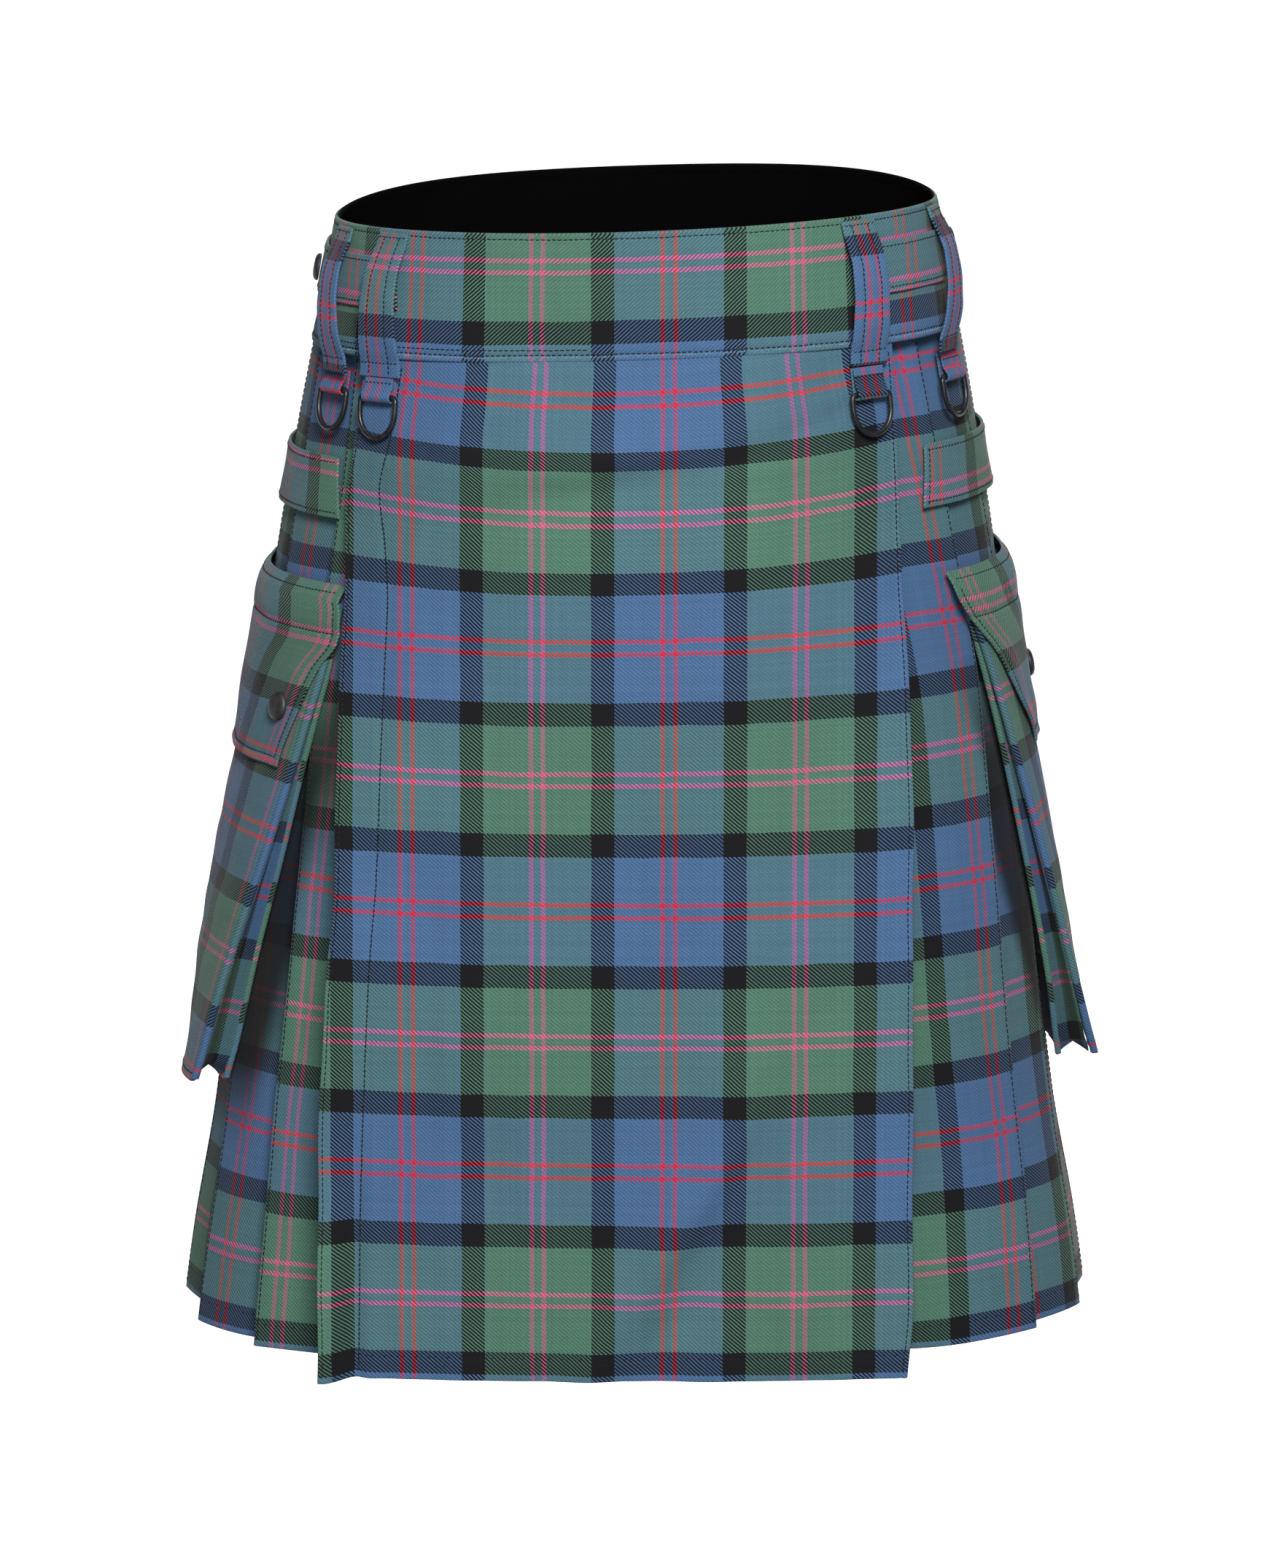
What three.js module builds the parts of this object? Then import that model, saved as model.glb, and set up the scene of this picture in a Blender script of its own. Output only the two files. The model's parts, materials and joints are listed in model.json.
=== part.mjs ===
// Utility kilt in a woollen-look tartan twill, hollow and filled out as when worn.
// Millimetres, +Z up, the front of the kilt faces -Y, +X is to the viewer's right.
// The origin is the centre of the waist, halfway up the waistband.
import * as THREE from "three";

// ---------------------------------------------------------------- sizes
const SEAM = 0.3; // gap left at every sewn seam
const BAND_TOP = 34; // waistband, 66 mm high
const BAND_BOTTOM = -32;
const HEM = -576; // the kilt is 610 mm long
const WALL_PLEAT = 1.4; // one layer of cloth
const WALL_APRON = 1.6;
const WALL_BAND = 3; // the band is the cloth folded double
const WALL_STRAP = 2; // folded and topstitched strips
const WALL_POCKET = 1.3;
const PLEATS = 9; // on each side of the centre back
const JOIN = 4; // the cloth is pieced inside this pleat of each side, where the seam is hidden
const WAIST_STRAP = { top: 20, bottom: -6 };
const HIP_STRAP = { top: -90, bottom: -122 };
const RING = { width: 27.5, wire: 3, drop: 22, corner: 2.6 };
const SNAP = { radius: 8, height: 3.6 };
const POCKET = { top: -168, bottom: -442, flapTop: -158, flapBottom: -260 };

// ---------------------------------------------------------------- tables
function table(names, rows) {
  return rows.map((r) => Object.fromEntries(names.map((n, i) => [n, r[i]])));
}
// value of one column at a height, straight between rows (rows go from the top down)
function at(tab, name, z) {
  if (z >= tab[0].z) return tab[0][name];
  for (let i = 1; i < tab.length; i++) {
    const hi = tab[i - 1],
      lo = tab[i];
    if (z >= lo.z) return hi[name] + ((lo[name] - hi[name]) * (hi.z - z)) / (hi.z - lo.z);
  }
  return tab[tab.length - 1][name];
}

// Plan of the waistband's middle surface: half width, depth in front, roundness of the front, depth behind.
const BAND = table(
  ["z", "half", "front", "power", "back"],
  [
    [34, 163.5, 123.5, 2.0, 130.5],
    [0, 169.5, 127, 2.15, 136],
    [-32, 176.5, 130, 2.3, 141],
    [-62, 182.4, 136, 2.3, 147],
  ],
);
// Plan of the pleats' outermost folds, on the right (R) and left (L).
const SKIRT = table(
  ["z", "half", "frontR", "powerR", "frontL", "powerL", "back"],
  [
    [-32, 176.5, 124, 2.0, 124, 2.0, 141],
    [-70, 184, 131, 2.0, 131, 2.0, 150],
    [-115, 192, 138, 2.0, 138, 2.0, 158],
    [-160, 199.7, 145, 2.0, 145, 2.0, 165],
    [-220, 207, 150, 2.0, 151, 2.05, 170],
    [-300, 216, 155, 2.1, 159, 2.15, 175],
    [-380, 225, 159, 2.2, 168, 2.3, 179],
    [-467, 236, 163, 2.3, 177, 2.45, 183],
    [-540, 249, 167, 2.4, 184, 2.55, 187],
    [-576, 254, 168, 2.4, 187, 2.6, 188],
  ],
);
// Pleats: how far a fold edge stands out (right, left), spacing of the folded layers, depth of the hidden return,
// and where the first fold edge runs in front (x of the right one, x of the left one).
const FOLDS = table(
  ["z", "standR", "standL", "layer", "hidden", "edgeR", "edgeL"],
  [
    [-32, 5.6, 5.6, 1.9, 12, 150, 150],
    [-100, 6.0, 6.0, 1.9, 13, 164, 158],
    [-160, 7.5, 8.0, 2.2, 15, 176, 167],
    [-225, 9, 10, 2.5, 17, 187, 174],
    [-322, 11, 13, 2.8, 19, 197, 184],
    [-434, 13, 17, 3.0, 20, 207.5, 196],
    [-511, 14.5, 20, 3.0, 20, 216, 203],
    [-576, 16, 22, 3.0, 20, 221, 208.8],
  ],
);
// Front apron: its two edges, the y of its middle, how far it has fallen back at x = 150, and how round it is.
const APRON = table(
  ["z", "left", "right", "front", "fallL", "fallR", "power"],
  [
    [-32.3, -143, 136, 130, 51, 51, 2.64],
    [-70, -150, 139, 140, 55, 55, 2.6],
    [-115, -156, 141, 150, 56, 56, 2.5],
    [-160, -157, 143, 156, 47, 47, 2.45],
    [-220, -159, 146, 163, 34, 32, 2.4],
    [-300, -161, 148, 172, 20, 18, 2.3],
    [-380, -167, 148, 180, 15, 14, 2.2],
    [-467, -170, 148, 187, 12, 12, 2.1],
    [-540, -171, 149, 193, 10, 10, 2.0],
    [-576, -171, 146, 195, 8, 8, 2.0],
  ],
);
// Large soft folds of the apron: a middle, a direction (degrees from +X), half length, half width and height.
const APRON_FOLDS = table(
  ["x", "z", "turn", "long", "wide", "high"],
  [
    [-20, -84, 6, 75, 12, 3.2],
    [-15, -101, 8, 80, 12, -3.4],
    [12, -512, 62, 62, 13, 4.2],
    [30, -530, 62, 70, 16, -4.0],
    [60, -430, 84, 70, 26, 3.0],
  ],
);
// How the cloth's horizontals lie on the body: they rise towards +X, and the back of the waist rides up.
const LIE = table(
  ["z", "tilt", "rise"],
  [
    [34, 0.033, 6.7],
    [-32, 0.031, 6.2],
    [-115, 0.022, 4.2],
    [-220, 0.011, 2],
    [-350, 0, 0],
    [-580, 0, 0],
  ],
);
// Belt loops: x where they start and end, width at top and bottom, height of the ring's bar, and whether it is at the back.
const LOOPS = table(
  ["name", "xTop", "xBottom", "wTop", "wBottom", "bar", "behind"],
  [
    ["1", -154.5, -159.5, 18, 22, -53.5, false],
    ["2", -127.5, -135, 20, 27, -53.5, false],
    ["3", 116.5, 122.5, 21, 22, -57.5, false],
    ["4", 158.5, 166, 18, 21, -57, false],
    ["back_1", -92, -98, 22, 23, 0, true],
    ["back_2", 0, 0, 22, 23, 0, true],
    ["back_3", 92, 98, 22, 23, 0, true],
  ],
);
// Side profile of a belt loop: height and distance from the middle of the band's wall.
const LOOP_PROFILE = table(
  ["z", "out"],
  [
    [32.5, 2.9],
    [27.5, 3.8],
    [21, 6.4],
    [10, 10.2],
    [-4, 11.5],
    [-17, 10.6],
    [-27, 8],
    [-34.5, 5],
    [-41.5, 3.6],
  ],
);
// Pockets: y of the front edge (left, right), y of the rear edge, distance out of the back panel (left, right),
// of the front panel and of the flap, and y of the flap's front edge (left, right).
const POCKETS = table(
  ["z", "frontL", "frontR", "rear", "backL", "backR", "panel", "flap", "flapL", "flapR"],
  [
    [-158, -92, -77, 80, 3.2, 3.0, 5.2, 3.2, -92, -81],
    [-166, -92, -76, 80, 3.2, 3.0, 5.3, 7.4, -92, -81],
    [-170, -92, -75, 80, 3.2, 3.0, 5.4, 7.9, -94, -80.5],
    [-187, -92.3, -70.5, 80, 3.2, 3.0, 6.3, 8.7, -96, -72],
    [-205, -92, -66, 80, 3.2, 3.0, 7.2, 9.6, -89.5, -58.5],
    [-232, -90, -60, 80, 3.2, 3.1, 8.6, 11.1, -84.5, -45],
    [-260, -88, -55, 80, 3.2, 3.2, 10.0, 12.6, -79, -27],
    [-316, -84.5, -47, 79, 3.2, 4.4, 14.6, 17, -79, -27],
    [-395, -76, -31, 77, 3.2, 5.8, 20.4, 22, -79, -27],
    [-442, -72, -20, 76, 5.0, 4.6, 24, 26, -79, -27],
  ],
);

// ---------------------------------------------------------------- plan curves
const smooth = (x) => {
  const t = Math.min(1, Math.max(0, x));
  return t * t * (3 - 2 * t);
};

// Half of a rounded plan, from the middle of the front to the middle of the back, on side +1 or -1.
class HalfPlan {
  constructor(side, half, front, power, back) {
    this.side = side;
    this.pts = [];
    const N = 180;
    for (let i = 0; i <= N; i++) {
      const w = (Math.PI * i) / N,
        p = w < Math.PI / 2 ? power : 2.15;
      const depth = w < Math.PI / 2 ? front : back;
      const x = half * Math.pow(Math.abs(Math.sin(w)), 2 / p);
      const y = -Math.sign(Math.cos(w)) * depth * Math.pow(Math.abs(Math.cos(w)), 2 / p);
      this.pts.push([x, y]);
    }
    this.pts[0][0] = 0;
    this.pts[N][0] = 0;
    this.cum = [0];
    for (let i = 1; i <= N; i++)
      this.cum.push(
        this.cum[i - 1] +
          Math.hypot(this.pts[i][0] - this.pts[i - 1][0], this.pts[i][1] - this.pts[i - 1][1]),
      );
    this.length = this.cum[N];
  }
  raw(s) {
    const c = this.cum,
      last = c.length - 1;
    if (s <= 0) return [s, this.pts[0][1]];
    if (s >= this.length) return [this.length - s, this.pts[last][1]];
    let i = 1;
    while (c[i] < s) i++;
    const f = (s - c[i - 1]) / (c[i] - c[i - 1]);
    return [0, 1].map((k) => this.pts[i - 1][k] + f * (this.pts[i][k] - this.pts[i - 1][k]));
  }
  // plan point at arc length s, n outside the curve
  point(s, n = 0) {
    const a = this.raw(s - 4),
      b = this.raw(s + 4),
      p = this.raw(s);
    const tx = b[0] - a[0],
      ty = b[1] - a[1],
      l = Math.hypot(tx, ty);
    return [this.side * (p[0] + (n * ty) / l), p[1] - (n * tx) / l];
  }
  // arc length where the front half reaches |x|, or where the curve reaches y
  sAtX(x) {
    const v = Math.abs(x);
    let i = 1;
    while (i < 90 && this.pts[i][0] < v) i++;
    const a = this.pts[i - 1][0],
      b = this.pts[i][0];
    return this.cum[i - 1] + ((this.cum[i] - this.cum[i - 1]) * (v - a)) / (b - a);
  }
  sAtY(y) {
    let i = 1;
    while (i < 180 && this.pts[i][1] < y) i++;
    const a = this.pts[i - 1][1],
      b = this.pts[i][1];
    return this.cum[i - 1] + ((this.cum[i] - this.cum[i - 1]) * (y - a)) / (b - a);
  }
}
function bandPlan(side, z) {
  return new HalfPlan(
    side,
    at(BAND, "half", z),
    at(BAND, "front", z),
    at(BAND, "power", z),
    at(BAND, "back", z),
  );
}
function skirtPlan(side, z) {
  const k = side > 0 ? "R" : "L";
  return new HalfPlan(
    side,
    at(SKIRT, "half", z),
    at(SKIRT, "front" + k, z),
    at(SKIRT, "power" + k, z),
    at(SKIRT, "back", z),
  );
}
// Turns a point of the straight pattern into one of the kilt as it lies.
function lie(x, y, z) {
  const back = smooth((y + 10) / 140);
  return new THREE.Vector3(x, y, z + at(LIE, "tilt", z) * x + at(LIE, "rise", z) * back);
}

// ---------------------------------------------------------------- walls
// A closed solid between two equal grids of points, open edges closed by strips. A ring closes on itself in u.
function solidBetween(A, B, ring = false) {
  const rows = A.length,
    cols = A[0].length,
    pos = [],
    idx = [];
  for (const G of [A, B]) for (const r of G) for (const p of r) pos.push(p.x, p.y, p.z);
  const id = (g, r, c) => g * rows * cols + r * cols + (c % cols);
  const quad = (a, b, c, d) => idx.push(a, b, c, a, c, d);
  const last = ring ? cols : cols - 1;
  for (let r = 0; r < rows - 1; r++)
    for (let c = 0; c < last; c++) {
      quad(id(0, r, c), id(0, r + 1, c), id(0, r + 1, c + 1), id(0, r, c + 1));
      quad(id(1, r, c), id(1, r, c + 1), id(1, r + 1, c + 1), id(1, r + 1, c));
    }
  for (let c = 0; c < last; c++) {
    quad(id(0, 0, c), id(0, 0, c + 1), id(1, 0, c + 1), id(1, 0, c));
    quad(id(0, rows - 1, c), id(1, rows - 1, c), id(1, rows - 1, c + 1), id(0, rows - 1, c + 1));
  }
  if (!ring)
    for (let r = 0; r < rows - 1; r++) {
      quad(id(0, r, 0), id(1, r, 0), id(1, r + 1, 0), id(0, r + 1, 0));
      quad(id(0, r, cols - 1), id(0, r + 1, cols - 1), id(1, r + 1, cols - 1), id(1, r, cols - 1));
    }
  return facingOut(pos, idx);
}
function facingOut(pos, idx) {
  let v = 0;
  for (let i = 0; i < idx.length; i += 3) {
    const [a, b, c] = [0, 1, 2].map((k) =>
      new THREE.Vector3().fromArray(pos, 3 * idx[i + k]),
    );
    v += a.dot(b.cross(c));
  }
  if (v < 0)
    for (let i = 0; i < idx.length; i += 3) [idx[i + 1], idx[i + 2]] = [idx[i + 2], idx[i + 1]];
  const g = new THREE.BufferGeometry();
  g.setAttribute("position", new THREE.Float32BufferAttribute(pos, 3));
  g.setIndex(idx);
  g.computeVertexNormals();
  return g;
}
// A wall of even thickness about a grid of middle points; its edges stay level, so that seams meet evenly.
function wall(grid, thick, ring = false, level = true) {
  const rows = grid.length,
    cols = grid[0].length;
  const A = [],
    B = [];
  for (let r = 0; r < rows; r++) {
    A.push([]);
    B.push([]);
    for (let c = 0; c < cols; c++) {
      const c0 = ring ? (c + cols - 1) % cols : Math.max(0, c - 1);
      const c1 = ring ? (c + 1) % cols : Math.min(cols - 1, c + 1);
      const du = grid[r][c1].clone().sub(grid[r][c0]);
      const dv = grid[Math.min(rows - 1, r + 1)][c].clone().sub(grid[Math.max(0, r - 1)][c]);
      const n = du.cross(dv);
      if (level) n.z = 0;
      n.normalize().multiplyScalar(thick / 2);
      A[r].push(grid[r][c].clone().add(n));
      B[r].push(grid[r][c].clone().sub(n));
    }
  }
  return solidBetween(A, B, ring);
}
const steps = (a, b, n) => Array.from({ length: n + 1 }, (_, i) => a + ((b - a) * i) / n);

// ---------------------------------------------------------------- the pieces
// Waistband: a ring of folded cloth, widening from the waist to the seam.
function waistband() {
  const heights = [BAND_TOP, 12, -10, BAND_BOTTOM];
  const grid = heights.map((z) => {
    const right = bandPlan(1, z),
      left = bandPlan(-1, z),
      N = 26;
    const row = [];
    for (let i = 0; i < N; i++) row.push(right.point((right.length * i) / N));
    for (let i = N; i > 0; i--) row.push(left.point((left.length * i) / N));
    return row.map(([x, y]) => lie(x, y, z));
  });
  return wall(grid, WALL_BAND, true);
}

// The paths of one side's two runs of pleats at one height, as points of the plan (middle of the cloth).
function pleatRuns(side, z) {
  const k = side > 0 ? "R" : "L";
  const plan = skirtPlan(side, z),
    stand = at(FOLDS, "stand" + k, z),
    layer = at(FOLDS, "layer", z),
    hidden = at(FOLDS, "hidden", z);
  const first = plan.sAtX(at(FOLDS, "edge" + k, z)),
    lastEdge = plan.length - 1.2;
  const edges = Array.from(
    { length: PLEATS },
    (_, i) => first + ((lastEdge - first) * i) / (PLEATS - 1),
  );
  const runs = [[]];
  let start = plan.sAtX(119 + (-z - 32) * 0.006);
  edges.forEach((e, i) => {
    const path = runs[runs.length - 1];
    const face = (s) => -stand * (1 - (s - start) / (e - start));
    const marks = i
      ? [start, edges[i - 1] + 0.6, (edges[i - 1] + e) / 2, e - hidden, e]
      : [start, start + (e - hidden - start) * 0.5, e - hidden, e];
    for (const s of marks) path.push([s, face(s)]);
    path.push([e, -layer]);
    path.push([e - hidden, face(e - hidden) - layer]);
    start = e - hidden;
    if (i + 1 === JOIN) {
      const middle = (path[path.length - 1][1] - stand) / 2;
      path.push([start, middle + SEAM / 2]);
      runs.push([[start, middle - SEAM / 2]]);
    }
  });
  // the last layer runs on to the seam in the middle of the back
  const end = plan.length - SEAM / 2;
  runs[1].push([start, -stand], [end, -stand * 0.96]);
  return runs.map((path) => path.map(([s, n]) => plan.point(s, n)));
}
// Both faces of a folded wall in plan, mitred at the folds.
function mitred(path, thick) {
  const out = [[], []];
  path.forEach((p, i) => {
    const a = path[Math.max(0, i - 1)],
      b = path[Math.min(path.length - 1, i + 1)];
    const d1 = unit(p, i ? a : b, i ? 1 : -1),
      d2 = unit(b, i < path.length - 1 ? p : a, 1);
    const e1 = i ? d1 : d2,
      e2 = i < path.length - 1 ? d2 : d1;
    let nx = -(e1[1] + e2[1]),
      ny = e1[0] + e2[0];
    const l = Math.hypot(nx, ny) || 1;
    nx /= l;
    ny /= l;
    const cos = Math.max(0.5, nx * -e1[1] + ny * e1[0]);
    const h = thick / 2 / cos;
    out[0].push([p[0] + nx * h, p[1] + ny * h]);
    out[1].push([p[0] - nx * h, p[1] - ny * h]);
  });
  return out;
}
function unit(p, q, sign) {
  const dx = (p[0] - q[0]) * sign,
    dy = (p[1] - q[1]) * sign,
    l = Math.hypot(dx, dy) || 1;
  return [dx / l, dy / l];
}
function pleats(side, run) {
  const heights = [BAND_BOTTOM - SEAM, -70, -115, -160, -250, -350, -460, HEM];
  const A = [],
    B = [];
  for (const z of heights) {
    const [a, b] = mitred(pleatRuns(side, z)[run], WALL_PLEAT);
    A.push(a.map(([x, y]) => lie(x, y, z)));
    B.push(b.map(([x, y]) => lie(x, y, z)));
  }
  return solidBetween(A, B);
}

// Front apron.
function apronFold(x, z) {
  let h = 0;
  for (const f of APRON_FOLDS) {
    const w = (f.turn * Math.PI) / 180,
      dx = x - f.x,
      dz = z - f.z;
    const u = (dx * Math.cos(w) + dz * Math.sin(w)) / f.long,
      v = (-dx * Math.sin(w) + dz * Math.cos(w)) / f.wide;
    h += f.high * Math.exp(-u * u - v * v);
  }
  return h;
}
function apronY(x, z) {
  const fall = at(APRON, x < 0 ? "fallL" : "fallR", z) * Math.pow(Math.abs(x) / 150, at(APRON, "power", z));
  const kick = 13 * smooth((-150 - x) / 20) * smooth((-z - 430) / 130); // the loose left edge swings forward
  return -at(APRON, "front", z) + fall - kick - apronFold(x, z);
}
function frontApron() {
  const heights = [-32.3, -55, -70, -84, -93, -102, -115, -160, -220, -300, -380, -440, -485, -515, -540, HEM];
  const grid = heights.map((z) => {
    const l = at(APRON, "left", z),
      r = at(APRON, "right", z);
    const marks = [0, 0.035, 0.08, ...steps(0.15, 0.93, 13), 0.97, 1];
    return marks.map((u) => {
      const x = l + (r - l) * u;
      return lie(x, apronY(x, z), z);
    });
  });
  return wall(grid, WALL_APRON);
}

// Under apron, hidden behind the front one, between the front ends of the pleats.
function underApron() {
  const heights = [BAND_BOTTOM - SEAM, -100, -190, -310, -440, HEM + 3];
  const grid = heights.map((z) => {
    const ends = [-1, 1].map((side) => pleatRuns(side, z)[0][0]);
    const gap = 1.4;
    const xl = ends[0][0] + gap,
      xr = ends[1][0] - gap;
    const middle = -at(APRON, "front", z) + 7 + 13 * smooth((-z - 60) / 400);
    return steps(-1, 1, 10).map((u) => {
      const x = (xl + xr) / 2 + ((xr - xl) / 2) * u;
      const end = u < 0 ? ends[0][1] : ends[1][1];
      return lie(x, end + (middle - end) * (1 - Math.pow(Math.abs(u), 2.2)), z);
    });
  });
  return wall(grid, WALL_PLEAT);
}

// Belt loop: a strip that stands off the band and is sewn down at both ends.
function beltLoop(row) {
  const grid = LOOP_PROFILE.map(({ z, out }, i) => {
    const f = i / (LOOP_PROFILE.length - 1);
    const x = row.xTop + (row.xBottom - row.xTop) * f,
      w = row.wTop + (row.wBottom - row.wTop) * f;
    const side = x < 0 ? -1 : 1,
      plan = bandPlan(side, z);
    const s = row.behind ? plan.length - Math.abs(x) : plan.sAtX(x);
    const [px, py] = plan.point(s, out);
    const [ax, ay] = plan.point(s - 5, 0),
      [bx, by] = plan.point(s + 5, 0),
      l = Math.hypot(bx - ax, by - ay);
    const tx = (side * (bx - ax)) / l,
      ty = (side * (by - ay)) / l;
    return [-0.5, 0.5].map((v) => lie(px + tx * w * v, py + ty * w * v, z));
  });
  return wall(grid, WALL_STRAP, false, false);
}

// The place of a ring's bar: a point of the cloth below a belt loop, with directions across, up the cloth and out of it.
function ringPlace(row) {
  const z = row.bar,
    x = row.xBottom + (row.name === "4" ? 1.5 : 0);
  const onApron = x > at(APRON, "left", z) + 8 && x < at(APRON, "right", z) - 8;
  const side = x < 0 ? -1 : 1;
  const p = (dx, dz) => {
    if (onApron) return lie(x + dx, apronY(x + dx, z + dz), z + dz);
    const plan = skirtPlan(side, z + dz),
      s = plan.sAtX(x) + side * dx;
    const [px, py] = plan.point(s);
    return lie(px, py, z + dz);
  };
  const across = p(6, 0).sub(p(-6, 0)).normalize();
  const up = p(0, 7).sub(p(0, -7)).normalize();
  const out = across.clone().cross(up).normalize();
  up.copy(out.clone().cross(across));
  return { at: p(0, 0), across, up, out };
}
const BAR_OUT = 4.8; // from the middle of the cloth's wall to the middle of the bar
// Tab: a folded strip that holds the ring's bar, its two legs sewn under the belt loop's foot.
function ringTab(row) {
  const f = ringPlace(row),
    top = (-43.6 - row.bar) / f.up.z,
    r = RING.wire / 2 + 0.4 + 0.7;
  const line = [
    [BAR_OUT - r, top],
    [BAR_OUT - r, 2.5],
    ...steps(180, 390, 7).map((d) => [
      BAR_OUT + r * Math.cos((d * Math.PI) / 180),
      r * Math.sin((d * Math.PI) / 180),
    ]),
    [BAR_OUT + 0.2, 5.2],
    [BAR_OUT - 0.2, top],
  ];
  const w = 18.6;
  const grid = line.map(([n, u]) =>
    [-0.5, 0.5].map((v) =>
      f.at
        .clone()
        .addScaledVector(f.out, n)
        .addScaledVector(f.up, u)
        .addScaledVector(f.across, v * w),
    ),
  );
  return wall(grid, 1.2, false, false);
}
// D-ring of round wire: a straight bar, rounded corners, and a bow below it.
function ringPath() {
  const h = RING.width / 2 - RING.wire / 2,
    c = RING.corner,
    pts = [];
  for (const x of [-(h - c), -3.4, 3.4, h - c]) pts.push([x, 0]);
  for (const d of [60, 30, 0]) pts.push([h - c + c * Math.cos((d * Math.PI) / 180), -c + c * Math.sin((d * Math.PI) / 180)]);
  const low = RING.drop - 8;
  for (const d of [0, 18, 36, 54, 72, 90, 108, 126, 144, 162, 180])
    pts.push([h * Math.cos((d * Math.PI) / 180), -8 - low * Math.sin((d * Math.PI) / 180)]);
  for (const d of [180, 150, 120]) pts.push([-(h - c) + c * Math.cos((d * Math.PI) / 180), -c + c * Math.sin((d * Math.PI) / 180)]);
  return pts;
}
function dRing(row) {
  const f = ringPlace(row),
    path = ringPath(),
    M = path.length,
    K = 6;
  const pos = [],
    idx = [];
  path.forEach((p, i) => {
    const a = path[(i + M - 1) % M],
      b = path[(i + 1) % M];
    const e1 = unit(p, a, 1),
      e2 = unit(b, p, 1);
    let nx = -(e1[1] + e2[1]),
      ny = e1[0] + e2[0];
    const l = Math.hypot(nx, ny);
    nx /= l;
    ny /= l;
    const reach = 1 / Math.max(0.7, nx * -e1[1] + ny * e1[0]);
    for (let k = 0; k < K; k++) {
      const w = ((k + 0.5) * 2 * Math.PI) / K,
        r = RING.wire / 2;
      const q = f.at
        .clone()
        .addScaledVector(f.across, p[0] + nx * r * Math.cos(w) * reach)
        .addScaledVector(f.up, p[1] + ny * r * Math.cos(w) * reach)
        .addScaledVector(f.out, BAR_OUT + r * Math.sin(w));
      pos.push(q.x, q.y, q.z);
    }
  });
  for (let i = 0; i < M; i++)
    for (let k = 0; k < K; k++) {
      const a = i * K + k,
        b = i * K + ((k + 1) % K),
        c = ((i + 1) % M) * K + ((k + 1) % K),
        d = ((i + 1) % M) * K + k;
      idx.push(a, b, c, a, c, d);
    }
  return facingOut(pos, idx);
}

// A strap lying on the band or on the pleats, from arc length s0 to s1.
function strap(planAt, side, rows, range, out, thick) {
  const cols = 11;
  const grid = rows.map((z) => {
    const plan = planAt(side, z),
      [s0, s1] = range(plan);
    return steps(s0, s1, cols).map((s) => {
      const [x, y] = plan.point(s, out);
      return lie(x, y, z);
    });
  });
  return wall(grid, thick);
}
const STRAP_OUT = 3.4; // middle of a waist strap, from the middle of the band's wall
function waistStrap(side) {
  const x = side > 0 ? 121 : 126;
  return strap(
    bandPlan,
    side,
    [WAIST_STRAP.top, 7, WAIST_STRAP.bottom],
    (p) => [p.sAtX(x), p.sAtY(46)],
    STRAP_OUT,
    WALL_STRAP,
  );
}
function hipStrap(side) {
  const x = side > 0 ? 153.5 : 158.5;
  return strap(
    skirtPlan,
    side,
    [HIP_STRAP.top, -106, HIP_STRAP.bottom],
    (p) => [p.sAtX(x), p.sAtY(64)],
    3.2,
    1.8,
  );
}

// Pocket pieces: u runs from the front edge to the rear edge, n is the distance out from the pleats.
function pocketPoint(side, u, z, n, inset = 0) {
  const k = side > 0 ? "R" : "L",
    plan = skirtPlan(side, z);
  const s0 = plan.sAtY(at(POCKETS, "front" + k, z)) + inset,
    s1 = plan.sAtY(at(POCKETS, "rear", z)) - inset;
  const [x, y] = plan.point(s0 + (s1 - s0) * u, n);
  return lie(x, y, z);
}
function pocketBack(side) {
  const k = side > 0 ? "R" : "L";
  const grid = [POCKET.top, -205, -260, -316, -395, POCKET.bottom].map((z) =>
    steps(0, 1, 9).map((u) => pocketPoint(side, u, z, at(POCKETS, "back" + k, z))),
  );
  return wall(grid, WALL_POCKET);
}
// The left pocket hangs a little closer behind its lower front edge.
function panelOut(side, u, z) {
  return at(POCKETS, "panel", z) - (side < 0 ? 6 * smooth(u / 0.5) * smooth((-z - 375) / 60) : 0);
}
function pocketFront(side) {
  const grid = [POCKET.top, -205, -232, -260, -288, -316, -356, -395, -425, POCKET.bottom].map((z) =>
    steps(0, 1, 9).map((u) => pocketPoint(side, u, z, panelOut(side, u, z))),
  );
  return wall(grid, WALL_POCKET);
}
// Bellows: a strip round the front, bottom and rear of the pocket, folded inwards along its middle.
function pocketGusset(side) {
  const k = side > 0 ? "R" : "L",
    top = -252,
    low = POCKET.bottom + 1;
  const rim = [];
  for (const z of steps(top, low + 14, 5)) rim.push([0, z, 1, 0]);
  rim.push([0, low, 0.75, 0.75]);
  for (const u of steps(0.12, 0.88, 5)) rim.push([u, low, 0, 1]);
  rim.push([1, low, -0.75, 0.75]);
  for (const z of steps(low + 14, top, 5)) rim.push([1, z, -1, 0]);
  const columns = [
    [0, 1],
    [0.5, 7],
    [1, 1],
  ];
  const grid = columns.map(([f, deep]) =>
    rim.map(([u, z, du, dz]) => {
      const zz = z + dz * deep;
      const back = at(POCKETS, "back" + k, zz) + 1.8,
        front = panelOut(side, u, zz) - 2;
      const plan = skirtPlan(side, zz);
      const s0 = plan.sAtY(at(POCKETS, "front" + k, zz)),
        s1 = plan.sAtY(at(POCKETS, "rear", zz));
      const [x, y] = plan.point(s0 + (s1 - s0) * u + du * deep, back + (front - back) * f);
      return lie(x, y, zz);
    }),
  );
  return wall(grid, 1.1, false, false);
}
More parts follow.
